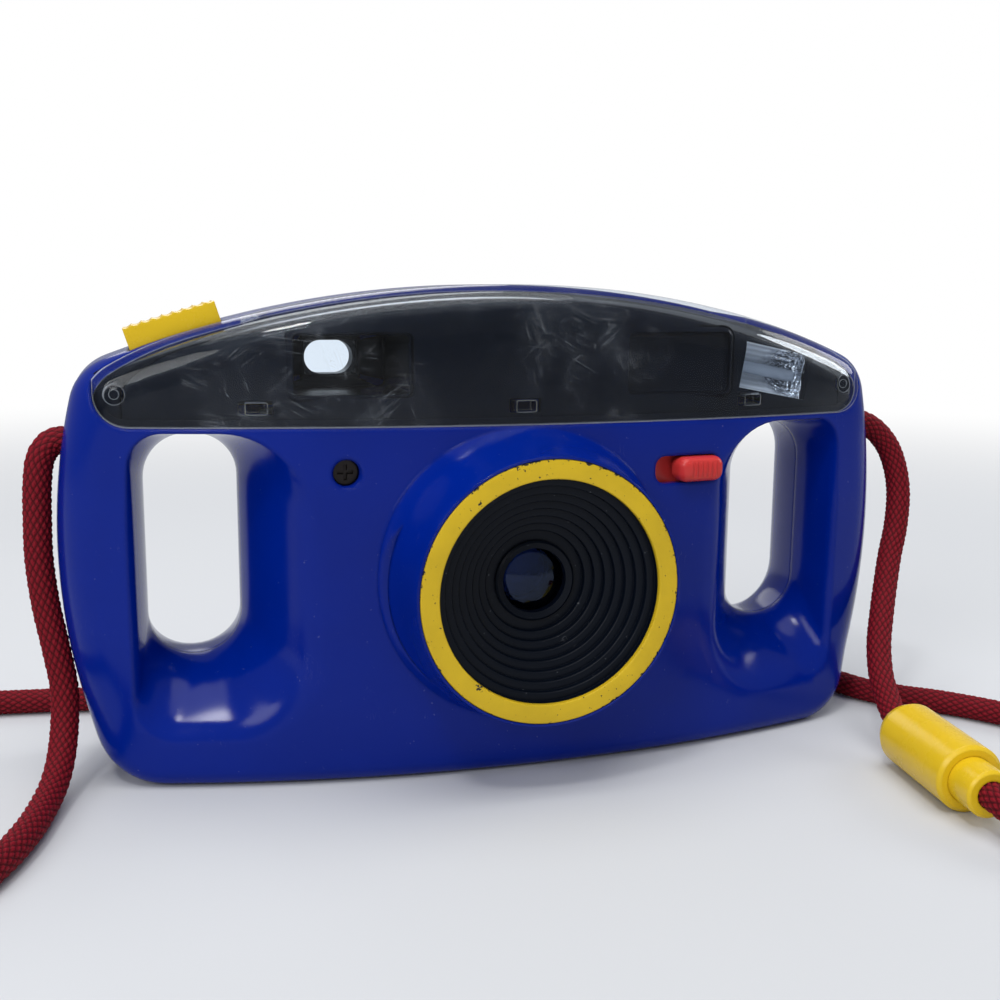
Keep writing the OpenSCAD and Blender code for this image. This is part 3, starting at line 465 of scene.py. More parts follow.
@dataclass(frozen=True)
class FloorPaint:
    """A plain pale floor that keeps the object's shadow and runs into the white backdrop."""

    name: str
    colour: Colour
    near: float = 0.3
    far: float = 0.95

    def make(self) -> Material:
        """Builds the material."""
        sh = Shader(self.name)
        colour = sh.blend(sh.noise(3, 3), shade(self.colour, 0.985), rgba(self.colour))
        paint = sh.principled(Base_Color=colour, Roughness=0.75, Specular_IOR_Level=0.1)
        x, y, _ = sh.split(sh.place())
        far = (x * x + y * y).math("SQRT").step(self.near, self.far)
        white = sh.node("ShaderNodeEmission", None, {"Color": WHITE, "Strength": 1.0})
        return sh.done(sh.layer(far * sh.seen(), paint, white))


class Finishes:
    """Every finish of the camera, made once."""

    def __init__(self) -> None:
        """Makes the materials."""
        self.blue = MouldedPlastic("blue_gloss", (0.0, 0.0135, 0.22), 0.12, ripple=0.00003, edge=0.0014,
                                   shine=0.16).make()
        self.black = MouldedPlastic("black_panel", (0.0035, 0.0052, 0.0105), 0.22, marks=0.4,
                                    shine=0.08).make()
        self.matt = MouldedPlastic("black_moulding", (0.0016, 0.0034, 0.008), 0.38, grain=0.35, marks=0.6,
                                   edge=0.0002, shine=0.14).make()
        self.yellow = MouldedPlastic("yellow_gloss", (0.72, 0.475, 0.012), 0.26, ripple=0.00003, grain=0.1,
                                     marks=0.45, edge=0.0005).make()
        self.ring = ChippedPaint("chipped_yellow", (0.64, 0.43, 0.014)).make()
        self.red = MouldedPlastic("red_gloss", (0.64, 0.04, 0.036), 0.26, marks=0.3).make()
        self.board = MouldedPlastic("circuit_board", (0.012, 0.10, 0.04), 0.4, ripple=0.00003, grain=0.3,
                                    marks=0.3).make()
        self.clear = ClearPlastic("clear_cover").make()
        self.window = ClearPlastic("clear_window", wear=0.3, haze=0.004).make()
        self.glass = CoatedGlass("coated_lens", (0.55, 0.68, 1.0)).make()
        self.steel = DullMetal("sheet_steel", (0.6, 0.6, 0.62)).make()
        self.screw = DullMetal("dark_screw", (0.035, 0.03, 0.028), 0.42).make()
        self.mirror = RibbedReflector("bright_reflector", (0.92, 0.95, 1.0), roll=10.5,
                                      crinkle_at=0.067).make()
        self.tube = MouldedPlastic("frosted_tube", (0.36, 0.40, 0.47), 0.18, ripple=0.00001, grain=0.2,
                                   marks=0.2, edge=0.0002).make()
        self.cord = BraidedCord("braided_cord", (0.2, 0.003, 0.011)).make()
        self.knot = MouldedPlastic("knotted_cord", (0.15, 0.004, 0.012), 0.75, ripple=0.0004, grain=1.0,
                                   marks=0.2).make()
        self.jacket = PrintedJacket("battery_sleeve", (0.7, 0.42, 0.05), split_at=0.012).make()


def around(x: float, y: float, z: float, turn_z: float = 0.0, turn_y: float = 0.0) -> Matrix:
    """A place in millimetres, turned about Z and then about its own Y, in degrees."""
    return (Matrix.Translation((x, y, z)) @ Matrix.Rotation(math.radians(turn_z), 4, "Z")
            @ Matrix.Rotation(math.radians(turn_y), 4, "Y"))


def in_metres(place: Matrix) -> Matrix:
    """A place in millimetres as one in metres."""
    return Matrix.Translation(place.to_translation() * MM) @ place.to_3x3().to_4x4()


def mix(a: float, b: float, t: float) -> float:
    """The value a part t of the way from a to b."""
    return a + (b - a) * t


def strips(rings: int, count: int) -> list[tuple[int, ...]]:
    """The faces between neighbouring rings of equally many points."""
    faces = []
    for start in range(0, (rings - 1) * count, count):
        for i in range(count):
            after = (i + 1) % count
            faces.append((start + i, start + after, start + count + after, start + count + i))
    return faces


def lid(ring: int, count: int) -> tuple[int, ...]:
    """The face that closes one ring."""
    return tuple(range(ring * count, (ring + 1) * count))


class Bench:
    """Modelling operators that every sub-assembly uses."""

    merge: float = 0.000002
    sliver: float = 0.00002

    @staticmethod
    def only(piece: Piece) -> None:
        """Selects one piece and makes it active."""
        bpy.ops.object.select_all(action="DESELECT")
        piece.hide_set(False)
        piece.select_set(True)
        bpy.context.view_layer.objects.active = piece

    @staticmethod
    @contextmanager
    def editing(piece: Piece) -> Iterator[None]:
        """Opens a piece in Edit mode with everything selected, and closes it after."""
        Bench.only(piece)
        bpy.ops.object.mode_set(mode="EDIT")
        bpy.ops.mesh.select_all(action="SELECT")
        yield
        bpy.ops.object.mode_set(mode="OBJECT")

    @staticmethod
    def link(name: str, points: Sequence[Point], edges: Sequence[tuple], faces: Sequence[tuple]) -> Piece:
        """A new object from points in millimetres, with edges or faces as point numbers."""
        data = bpy.data.meshes.new(name)
        data.from_pydata([tuple(c * MM for c in p) for p in points], edges, faces)
        made = bpy.data.objects.new(name, data)
        bpy.context.scene.collection.objects.link(made)
        return made

    @staticmethod
    def tidy(piece: Piece) -> None:
        """Merges doubles and turns the faces outwards."""
        with Bench.editing(piece):
            bpy.ops.mesh.remove_doubles(threshold=Bench.merge)
            bpy.ops.mesh.normals_make_consistent(inside=False)

    @staticmethod
    def mesh(name: str, points: Sequence[Point], faces: Sequence[tuple]) -> Piece:
        """A closed mesh from points in millimetres, with its faces turned outwards.

        Args:
            name: the piece's name.
            points: its corners.
            faces: its faces, as point numbers.

        Returns:
            The new object.
        """
        made = Bench.link(name, points, [], faces)
        Bench.tidy(made)
        return made

    @staticmethod
    def lathe(name: str, profile: Sequence[tuple[float, float]], height: float, steps: int = 96,
              closed: bool = False) -> Piece:
        """Spins a profile about an axis that runs along Y at the given height.

        Args:
            name: the piece's name.
            profile: pairs of radius and distance towards the viewer, in millimetres.
            height: the axis's height.
            steps: faces round the turn.
            closed: joins the profile's last point to its first.

        Returns:
            The new object.
        """
        count = len(profile)
        edges = [(i, (i + 1) % count) for i in range(count if closed else count - 1)]
        made = Bench.link(name, [(r, -d, height) for r, d in profile], edges, [])
        with Bench.editing(made):
            bpy.ops.mesh.spin(steps=steps, angle=2 * math.pi, center=(0, 0, height * MM), axis=(0, 1, 0))
        Bench.tidy(made)
        return made

    @staticmethod
    def slab(name: str, width: float, height: float, corner: float, depth: tuple[float, float],
             place: Matrix, rounding: int = 6) -> Piece:
        """A block with four rounded long edges: X wide, Z high and Y deep in the place's own axes.

        Args:
            name: the piece's name.
            width: its size in X.
            height: its size in Z.
            corner: the radius of its corners.
            depth: the Y where it starts and ends.
            place: turns and moves it, in millimetres.
            rounding: segments in a corner.

        Returns:
            The new object.
        """
        bpy.ops.object.select_all(action="DESELECT")
        bpy.ops.mesh.primitive_cube_add(size=1.0)
        made = bpy.context.active_object
        made.name = made.data.name = name
        made.data.transform(Matrix.Diagonal((width, depth[1] - depth[0], height, 1.0)))
        made.data.transform(Matrix.Translation((0, (depth[0] + depth[1]) / 2, 0)))
        if corner > 0:
            with Bench.editing(made):
                bpy.ops.mesh.select_all(action="DESELECT")
            for edge in made.data.edges:
                a, b = (made.data.vertices[i].co for i in edge.vertices)
                edge.select = abs(a.x - b.x) + abs(a.z - b.z) < 1e-6
            bpy.ops.object.mode_set(mode="EDIT")
            bpy.ops.mesh.bevel(offset=corner, offset_type="OFFSET", segments=rounding, affect="EDGES")
            bpy.ops.object.mode_set(mode="OBJECT")
        made.data.transform(place)
        made.data.transform(Matrix.Scale(MM, 4))
        return made

    @staticmethod
    def rod(x: float, z: float, radius: float, start: float, end: float, sides: int = 48) -> Piece:
        """A round bar along Y."""
        bpy.ops.object.select_all(action="DESELECT")
        bpy.ops.mesh.primitive_cylinder_add(vertices=sides, radius=radius, depth=end - start)
        made = bpy.context.active_object
        made.data.transform(Matrix.Rotation(math.pi / 2, 4, "X"))
        made.data.transform(Matrix.Translation((x, (start + end) / 2, z)))
        made.data.transform(Matrix.Scale(MM, 4))
        return made

    @staticmethod
    def upright(x: float, y: float, radius: float, low: float, high: float) -> Piece:
        """A round bar along Z."""
        bar = Bench.rod(0, 0, radius, -(high - low) / 2, (high - low) / 2, 64)
        bar.data.transform(Matrix.Rotation(math.pi / 2, 4, "X"))
        bar.data.transform(Matrix.Translation(Vector((x, y, (low + high) / 2)) * MM))
        return bar

    @staticmethod
    def carve(piece: Piece, how: Cut, *tools: Piece) -> None:
        """Applies each tool to a piece with a Boolean modifier, and drops it."""
        for tool in tools:
            Bench.only(piece)
            cutter = piece.modifiers.new("carve", "BOOLEAN")
            cutter.object = tool
            cutter.operation = how.value
            cutter.solver = "MANIFOLD"
            bpy.ops.object.modifier_apply(modifier=cutter.name)
            bpy.data.objects.remove(tool, do_unlink=True)

    @staticmethod
    def smooth(piece: Piece, degrees: float) -> None:
        """Drops slivers and shades smoothly, but crisply where faces meet at more than an angle."""
        with Bench.editing(piece):
            bpy.ops.mesh.dissolve_degenerate(threshold=Bench.sliver)
        bpy.ops.object.shade_smooth_by_angle(angle=math.radians(degrees))

    @staticmethod
    def fit(piece: Piece, body: str, finish: Material, slot: str, node: str) -> None:
        """Gives a piece its finish and its body, and hides the node it stands for.

        Args:
            piece: the finished piece.
            body: the body it rides on.
            finish: its material.
            slot: the record's material slot; not used.
            node: the node that it replaces.
        """
        piece.data.materials.clear()
        piece.data.materials.append(finish)
        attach(piece, body)
        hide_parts(node)
        LOG.info("%s on %s", piece.name, body)


@dataclass
class Photograph:
    """The viewpoint of the photograph."""

    eye: Point = (-81.14, -277.02, 108.71)
    ahead: Point = (0.28108, 0.94431, -0.17106)
    right: Point = (0.95883, -0.28383, 0.00867)
    focal: float = 43.547
    sensor: float = 36.0
    nearest: float = 0.01

    def build(self) -> None:
        """Adds the camera and makes it the scene's own."""
        data = bpy.data.cameras.new("viewpoint")
        data.lens = self.focal
        data.sensor_width = self.sensor
        data.sensor_fit = "HORIZONTAL"
        data.clip_start = self.nearest
        made = bpy.data.objects.new("viewpoint", data)
        bpy.context.scene.collection.objects.link(made)
        ahead = Vector(self.ahead).normalized()
        right = Vector(self.right)
        right = (right - right.dot(ahead) * ahead).normalized()
        turn = Matrix((right, right.cross(ahead), -ahead)).transposed().to_4x4()
        made.matrix_world = Matrix.Translation(Vector(self.eye) * MM) @ turn
        bpy.context.scene.camera = made


@dataclass
class Studio:
    """Pale floor, white backdrop and soft lamps, in metres and watts."""

    floor_half: float = 3.0
    floor_drop: float = 0.0002
    floor_colour: Colour = (0.62, 0.63, 0.65)
    fill: float = 0.42
    fill_colour: Colour = (0.93, 0.96, 1.0)
    aim: Point = (0.0, 0.0, 0.05)
    lamps: tuple = (  # name, place, size, power
        ("overhead", (-0.05, -0.10, 1.15), 1.1, 7.5),
        ("key", (-0.38, -0.5, 1.0), 0.15, 2.2),
        ("left_front", (-1.0, -0.85, 0.75), 0.7, 6.5),
        ("right_rim", (1.1, 0.15, 0.6), 0.5, 3.0),
        ("behind", (0.0, 1.2, 0.7), 0.8, 3.0),
    )

    def build(self) -> None:
        """Adds the floor, lamps and world."""
        bpy.ops.object.select_all(action="DESELECT")
        bpy.ops.mesh.primitive_plane_add(size=2 * self.floor_half, location=(0, 0, -self.floor_drop))
        floor = bpy.context.active_object
        floor.name = "floor"
        floor.data.materials.append(FloorPaint("pale_floor", self.floor_colour).make())
        for name, eye, size, power in self.lamps:
            data = bpy.data.lights.new(name, "AREA")
            data.shape = "DISK"
            data.size = size
            data.energy = power
            lamp = bpy.data.objects.new(name, data)
            lamp.location = eye
            lamp.rotation_euler = (Vector(self.aim) - Vector(eye)).to_track_quat("-Z", "Y").to_euler()
            bpy.context.scene.collection.objects.link(lamp)
        self.build_world()
        bpy.context.scene.view_settings.view_transform = "Standard"

    def build_world(self) -> None:
        """A white backdrop for what is seen, and a soft fill for the light."""
        sky = Shader("studio", world=True)
        fill, white = (sky.node("ShaderNodeBackground", None, {"Color": rgba(colour), "Strength": strength})
                       for colour, strength in ((self.fill_colour, self.fill), (WHITE[:3], 1.0)))
        bpy.context.scene.world = sky.done(sky.layer(sky.seen(), fill, white))


@dataclass
class Strap:
    """The neck strap: two lengths of braided cord that meet in a pull-apart connector."""

    radius: float = 3.0
    sides: int = 60
    spacing: float = 0.52
    fineness: int = 16
    path_step: int = 7
    crisp: float = 80.0
    relief: tuple = (-0.35, 0.45)  # valley from the radius, strand from the valley
    connector_at: Point = (88.0, -44.0, 7.5)
    connector_way: Point = (-0.13917, -0.99027, 0.0)
    connector_length: float = 38.0
    buried: float = 10.0
    long_length: float = 0.716
    short_length: float = 0.111
    short_route: tuple = (
        (94.2, 0, 75.5), (100, 0, 75.4), (104.5, -0.3, 73), (108.3, -0.9, 68.5), (110.3, -2, 62.5),
        (110.6, -3.4, 56), (109, -5.4, 48), (106, -8, 41), (102.5, -12, 34.5), (98.5, -17, 28),
        (94.5, -22.5, 21.5), (91.6, -28.5, 15.5), (89.8, -35, 10.8), (88.8, -39.5, 8.6))
    long_drop: tuple = (
        (-94.2, 0, 75.5), (-99.5, 0, 75.6), (-102.3, -0.3, 72.6), (-103.4, -0.6, 67), (-103.8, -1, 59),
        (-103.9, -1.4, 50), (-103, -2, 40), (-101.3, -3, 30), (-100, -4, 21), (-100.2, -6.5, 13.5),
        (-101, -11.5, 7.6), (-102.2, -18, 4.4), (-103.8, -26, 3.1))
    long_floor: tuple = (
        (-106, -37), (-109.8, -49), (-115, -59), (-124, -66), (-136, -66.5), (-146, -60), (-151, -48),
        (-152.5, -32), (-153, -14), (-153, 4), (-151.5, 21), (-146, 34.5), (-136, 42.5), (-124, 45),
        (-109, 43.6), (-92, 41), (-74, 38.5), (-56, 36.5), (-38, 35), (-20, 34), (-2, 33.4), (16, 33),
        (34, 32.4), (52, 31.4), (69, 29.6), (84, 25.6), (94.5, 17), (99.5, 6), (103.6, -4.2),
        (109.5, -11.5), (116, -17), (122, -23.5), (127.2, -30.5), (133, -41), (137.5, -54),
        (138.5, -68), (136, -82), (129.5, -95), (119.5, -104.5), (107.5, -109))
    long_rise: tuple = ((95.5, -107, 3.2), (87, -100, 4), (83.2, -91.5, 6))

    def along(self, distance: float) -> Vector:
        """A point on the connector's axis, in millimetres from where the short cord enters."""
        return Vector(self.connector_at) + Vector(self.connector_way) * distance

    def curve(self, route: Sequence[Sequence[float]]) -> list[Vector]:
        """A smooth line through a route's points, with even spacing.

        Args:
            route: points in millimetres.

        Returns:
            The line's points.
        """
        pts = [Vector(p) for p in route]
        dense: list[Vector] = []
        for i in range(len(pts) - 1):
            before = pts[max(i - 1, 0)]
            after = pts[min(i + 2, len(pts) - 1)]
            a, b = pts[i], pts[i + 1]
            span = (b - a).length
            tan_a = (b - before) * (span / max(span + (a - before).length, 1e-6))
            tan_b = (after - a) * (span / max((after - b).length + span, 1e-6))
            for j in range(self.fineness):
                t = j / self.fineness
                dense.append(a * (2 * t**3 - 3 * t**2 + 1) + tan_a * (t**3 - 2 * t**2 + t)
                             + b * (3 * t**2 - 2 * t**3) + tan_b * (t**3 - t**2))
        dense.append(pts[-1])
        line = [dense[0]]
        left = self.spacing
        for a, b in zip(dense, dense[1:]):
            span = (b - a).length
            while span >= left and span > 0:
                a = a + (b - a) * (left / span)
                line.append(a)
                span = (b - a).length
                left = self.spacing
            left -= span
        line.append(dense[-1])
        return line

    def braid(self, along: float, turn: float) -> float:
        """The cord's radius, strands and all, at a distance along it and a part of a turn round it."""
        first = turn * CORD_STRANDS + along / CORD_PITCH * 2
        second = turn * CORD_STRANDS - along / CORD_PITCH * 2
        one, two = abs(math.sin(math.pi * first)), abs(math.sin(math.pi * second))
        over = (math.floor(first) + math.floor(second)) % 2
        height = one * two**0.4 if over else two * one**0.4
        return self.radius + self.relief[0] + self.relief[1] * height

    def tube(self, name: str, line: Sequence[Vector]) -> Piece:
        """A braided tube along a line, with a UV map in metres along and turns around.

        Args:
            name: the piece's name.
            line: its centre line.

        Returns:
            The new object.
        """
        count = self.sides
        points: list[Point] = []
        side = Vector((0, 1, 0))
        for i, centre in enumerate(line):
            way = (line[min(i + 1, len(line) - 1)] - line[max(i - 1, 0)]).normalized()
            side = (side - side.dot(way) * way).normalized()
            other = way.cross(side)
            for j in range(count):
                turn = 2 * math.pi * j / count
                reach = self.braid(i * self.spacing, j / count)
                points.append(tuple(centre + reach * (math.cos(turn) * side + math.sin(turn) * other)))
        made = Bench.mesh(name, points, [*strips(len(line), count), lid(0, count), lid(len(line) - 1, count)])
        layer = made.data.uv_layers.new(name="cord")
        for face in made.data.polygons:
            spokes = [made.data.loops[i].vertex_index % count for i in face.loop_indices]
            wraps = min(spokes) == 0 and count - 1 in spokes
            for i in face.loop_indices:
                ring, spoke = divmod(made.data.loops[i].vertex_index, count)
                turn = 1.0 if wraps and spoke == 0 else spoke / count
                layer.data[i].uv = (ring * self.spacing * MM, turn)
        Bench.smooth(made, self.crisp)
        return made

    def build(self, finishes: Finishes) -> None:
        end = self.along(self.connector_length)
        short = self.curve([*self.short_route, self.along(0), self.along(self.buried)])
        floor = [(x, y, self.radius) for x, y in self.long_floor]
        inside = self.along(self.connector_length - self.buried)
        long = self.curve([*self.long_drop, *floor, *self.long_rise, end, inside])
        for name, line, length, fitting, node in (
                ("strap_cord_short", short, self.short_length, "connector_barrel", "strap_short"),
                ("strap_cord_long", long, self.long_length, "connector_plug", "strap_long")):
            cord = self.tube(name, line)
            Bench.fit(cord, "camera", finishes.cord, "red_cord", node)
            path = [tuple(p * MM) for p in line[::self.path_step]] + [tuple(line[-1] * MM)]
            LOG.info("%s is %.3f m long", name, sum((b - a).length for a, b in zip(line, line[1:])) * MM)


@dataclass
class BodyForm:
    """The outside of the body, in millimetres: an arched outline, a bowed front and a flat back."""

    half_width: float = 100.0
    height: float = 110.0
    front: float = 26.0
    bow: float = 16.0
    rear: float = 18.0
    top_radius: float = 248.0
    side_radius: float = 136.0
    widest: float = 52.0
    low_corner: float = 15.0
    top_corner: float = 12.0
    edge: float = 8.0
    base_edge: float = 4.0
    base_fade: tuple = (1.0, 19.0)  # heights where the edge starts and ends growing
    least_edge: float = 0.3
    wall: float = 2.6
    move_gap: float = 0.3
    button_at: tuple = (73.6, -2.0)  # x to the left, y
    switch_at: tuple = (39.7, 68.3)  # x, z
    side_steps: int = 14
    turn_steps: int = 10
    long_steps: int = 84
    edge_steps: int = 10
    rows: int = 44
    near_end: float = 0.85
    clear: float = 1.3
    outline: list = field(default_factory=list)

    def __post_init__(self) -> None:
        """Works out the outline's points: x, z and the way in."""
        side = Vector((self.half_width - self.side_radius, self.widest))
        top = Vector((0, self.height - self.top_radius))
        drop = self.side_radius - self.low_corner
        fall = self.widest - self.low_corner
        low = Vector((side.x + math.sqrt(drop**2 - fall**2), self.low_corner))
        low_turn = math.asin(fall / drop)
        da, db = self.side_radius - self.top_corner, self.top_radius - self.top_corner
        gap = (side - top).length
        along = (da**2 - db**2 + gap**2) / (2 * gap)
        across = math.sqrt(da**2 - along**2)
        way = (top - side) / gap
        upper = side + along * way + across * Vector((-way.y, way.x))
        side_end = math.atan2(upper.y - side.y, upper.x - side.x)
        top_start = math.atan2(upper.y - top.y, upper.x - top.x)

        def arc(centre: Vector, radius: float, start: float, end: float, steps: int) -> list[tuple]:
            """Points of an arc without its last one, each with the way to the centre."""
            turns = [mix(start, end, i / steps) for i in range(steps)]
            ways = [(math.cos(a), math.sin(a)) for a in turns]
            return [(centre.x + radius * c, centre.y + radius * s, -c, -s) for c, s in ways]

        half = self.long_steps // 2
        quarter = math.pi / 2
        lower = arc(side, self.side_radius, 0.0, -low_turn, self.side_steps)
        lower += arc(low, self.low_corner, -low_turn, -quarter, self.turn_steps)
        lower += [(low.x * (1 - i / half), 0.0, 0.0, 1.0) for i in range(half + 1)]
        higher = arc(side, self.side_radius, 0.0, side_end, self.side_steps)
        higher += arc(upper, self.top_corner, side_end, top_start, self.turn_steps)
        higher += arc(top, self.top_radius, top_start, quarter, half)
        higher.append((top.x, self.height, 0.0, -1.0))
        low_chain, high_chain = ([*chain, *((-p[0], p[1], -p[2], p[3]) for p in chain[-2::-1])]
                                 for chain in (lower, higher))
        self.outline = low_chain + high_chain[-2:0:-1]

    def front_y(self, x: float) -> float:
        """The front's depth at a place along the width."""
        return -self.front + self.bow * (x / self.half_width) ** 2

    def slope(self, x: float) -> float:
        """The front's turn about Z at a place along the width, in degrees."""
        return math.degrees(math.atan(2 * self.bow * x / self.half_width**2))

    def on_front(self, x: float, z: float) -> Matrix:
        """A place on the front, turned with it."""
        return around(x, self.front_y(x), z, self.slope(x))

    def top_z(self, x: float) -> float:
        """The top's height at a place along the width."""
        return self.height - self.top_radius + math.sqrt(self.top_radius**2 - x * x)

    def button_place(self) -> Matrix:
        """The shutter button's place on the top, leaning with it."""
        x, y = self.button_at
        return around(-x, y, self.top_z(x), 0, -math.degrees(math.asin(x / self.top_radius)))

    def edge_at(self, z: float) -> float:
        """The rounding between a face and the sides, smaller at the base."""
        start, end = self.base_fade
        t = max(0.0, min(1.0, (z - start) / (end - start)))
        return mix(self.base_edge, self.edge, t * t * (3 - 2 * t))

    def face_y(self, x: float, inset: float, back: bool) -> float:
        """The depth of the front or back face, set in from the skin."""
        return self.rear - inset if back else self.front_y(x) + inset

    def skin(self, p: tuple, inset: float, turn: float, back: bool) -> Point:
        """A point of the edge rounding, at an angle from the face to the side."""
        r = max(self.edge_at(p[1]) - inset, self.least_edge)
        d = inset + r * (1 - math.sin(turn))
        x = p[0] + p[2] * d
        return (x, self.face_y(x, inset + r * (1 - math.cos(turn)), back), p[1] + p[3] * d)

    def fill(self, rim: Sequence[Point]) -> tuple[list[Vector], list[list[int]]]:
        """Fills an outline with triangles over upright columns of points that keep clear of it.

        Args:
            rim: the outline's points, in order.

        Returns:
            The points inside, as x and z, and the triangles, numbered through the rim and then those points.
        """
        flat = [Vector((p[0], p[2])) for p in rim]
        pairs = list(zip(flat, flat[1:] + flat[:1]))
        reach = max(p.x for p in flat)
        inside: list[Vector] = []
        for i in range(1, self.long_steps):
            x = mix(-reach, reach, i / self.long_steps)
            levels = [mix(a.y, b.y, (x - a.x) / (b.x - a.x)) for a, b in pairs if (a.x <= x) != (b.x <= x)]
            column = [Vector((x, mix(min(levels), max(levels), j / self.rows))) for j in range(1, self.rows)]
            if abs(x) > self.near_end * reach:
                column = [at for at in column if min((at - p).length for p in flat) > self.clear]
            inside += column
        _, _, faces, origin, _, _ = delaunay_2d_cdt(flat + inside, [], [list(range(len(flat)))], 1, 1e-6)
        return inside, [[origin[k][0] for k in face] for face in faces]

    def half(self, name: str, inset: float, back: bool, end: float, groove: float = 0.0) -> Piece:
        """One half of the body, set in from the skin and closed by a flat face.

        Args:
            name: the object's name.
            inset: how far it lies under the skin.
            back: the rear half in place of the front half.
            end: the Y of the flat face.
            groove: the chamfer at the flat face, for a seam line.

        Returns:
            The new object.
        """
        count = len(self.outline)
        rings = [[self.skin(p, inset, math.pi / 2 * k / self.edge_steps, back) for p in self.outline]
                 for k in range(self.edge_steps + 1)]
        towards = 1 if end > rings[-1][0][1] else -1
        ends = [(inset, end - towards * groove)] + ([(inset + groove, end)] if groove else [])
        rings += [[(p[0] + p[2] * d, y, p[1] + p[3] * d) for p in self.outline] for d, y in ends]
        points = [p for ring in rings for p in ring]
        inside, fill = self.fill(rings[0])
        number = [*range(count), *range(len(points), len(points) + len(inside))]
        points += [(p.x, self.face_y(p.x, inset, back), p.y) for p in inside]
        faces = [*strips(len(rings), count), lid(len(rings) - 1, count)]
        faces += [tuple(number[k] for k in face) for face in fill]
        return Bench.mesh(name, points, faces)


@dataclass
class Grip:
    """A finger hole that flares into a scoop at the front and a soft edge at the back."""

    form: BodyForm
    hole: tuple = (61.0, 81.5, 26.0, 77.0)  # least and greatest x, least and greatest z
    hole_corner: float = 10.05
    scoop: tuple = (48.5, 84.5, 12.5, 78.5)  # the same at the front
    scoop_inner: float = 17.0
    scoop_outer: float = 7.0
    flare: float = 1.6
    back_round: float = 5.0
    past_back: float = 2.0
    corner_steps: int = 12
    straight_steps: int = 8
    back_steps: int = 12
    lip: float = 2.4
    lip_reach: float = 0.94
    lip_fade: tuple = (56.0, 74.0)  # heights where the lip is full and gone
    above_skin: tuple = (1.3, 1.15, 1.06, 1.02)
    under_lip: tuple = (0.84, 0.82, 0.79)

    def levels(self) -> list[float]:
        """The rings' shares of the front's depth: close together at the lip and wide apart in the throat."""
        lip = [i / 100 for i in range(100, 85, -1)]
        throat = [i / 20 for i in range(15, -1, -1)]
        return [*self.above_skin, *lip, *self.under_lip, *throat]

    def lip_at(self, depth: float, z: float) -> float:
        """How far the scoop's rounded lip opens it, at a depth under the skin and a height."""
        start, end = self.lip_fade
        fade = max(0.0, min(1.0, (end - z) / (end - start)))
        t = min(self.lip_reach - depth / self.lip, self.lip_reach)
        if t <= 0:
            return 0.0
        side = math.sqrt(1 - t * t)
        beyond = max(0.0, -depth) * t / side
        return fade * (self.lip * (1 - side) + beyond)

    def loop(self, box: Sequence[float], inner: float, outer: float, grow: float) -> Loop:
        """A rounded rectangle, as x and z, with even steps in corners and along sides.

        Args:
            box: its least and greatest x, and its least and greatest z.
            inner: the radius of the corners towards the lens.
            outer: the radius of the corners towards the side.
            grow: how far it is widened.

        Returns:
            The loop's points.
        """
        x0, x1, z0, z1 = box[0] - grow, box[1] + grow, box[2] - grow, box[3] + grow
        inner, outer = inner + grow, outer + grow
        corners = ((x1 - outer, z1 - outer, outer, 0), (x0 + inner, z1 - inner, inner, 90),
                   (x0 + inner, z0 + inner, inner, 180), (x1 - outer, z0 + outer, outer, 270))
        arcs = []
        for cx, cz, r, start in corners:
            turns = [math.radians(start + 90 * i / self.corner_steps) for i in range(self.corner_steps + 1)]
            arcs.append([(cx + r * math.cos(turn), cz + r * math.sin(turn)) for turn in turns])
        loop: Loop = []
        for arc, after in zip(arcs, arcs[1:] + arcs[:1]):
            shares = [j / self.straight_steps for j in range(1, self.straight_steps)]
            loop += arc
            loop += [(mix(arc[-1][0], after[0][0], t), mix(arc[-1][1], after[0][1], t)) for t in shares]
        return loop

    def tool(self, grow: float, side: int) -> Piece:
        """The opening as a solid, to cut with.

        Args:
            grow: how far it is widened.
            side: 1 for the viewer's right, -1 for the left.

        Returns:
            The new object.
        """
        throat = self.loop(self.hole, self.hole_corner, self.hole_corner, grow)
        mouth = self.loop(self.scoop, self.scoop_inner, self.scoop_outer, grow)
        wide = self.loop(self.scoop, self.scoop_inner, self.scoop_outer, grow + 1)
        rings = []
        for share in self.levels():
            ring = []
            for p, q, out in zip(throat, mouth, wide):
                y = share * self.form.front_y(q[0])
                lip = self.lip_at(y - self.form.front_y(q[0]), q[1])
                x, z = (mix(a, b, share**self.flare) + (c - b) * lip for a, b, c in zip(p, q, out))
                ring.append((x, y, z))
            rings.append(ring)
        for k in range(1, self.back_steps + 1):
            share = k / self.back_steps
            widened = grow + self.back_round * (1 - math.sqrt(1 - share * share))
            ring = self.loop(self.hole, self.hole_corner, self.hole_corner, widened)
            rings.append([(x, share * self.form.rear, z) for x, z in ring])
        rings.append([(x, self.form.rear + self.past_back, z) for x, _, z in rings[-1]])
        count = len(throat)
        points = [(side * x, y, z) for ring in rings for x, y, z in ring]
        faces = [*strips(len(rings), count), lid(0, count), lid(len(rings) - 1, count)]
        return Bench.mesh("grip_tool", points, faces)

    def pair(self, grow: float) -> list[Piece]:
        """Both openings, to cut with."""
        return [self.tool(grow, side) for side in BOTH_SIDES]


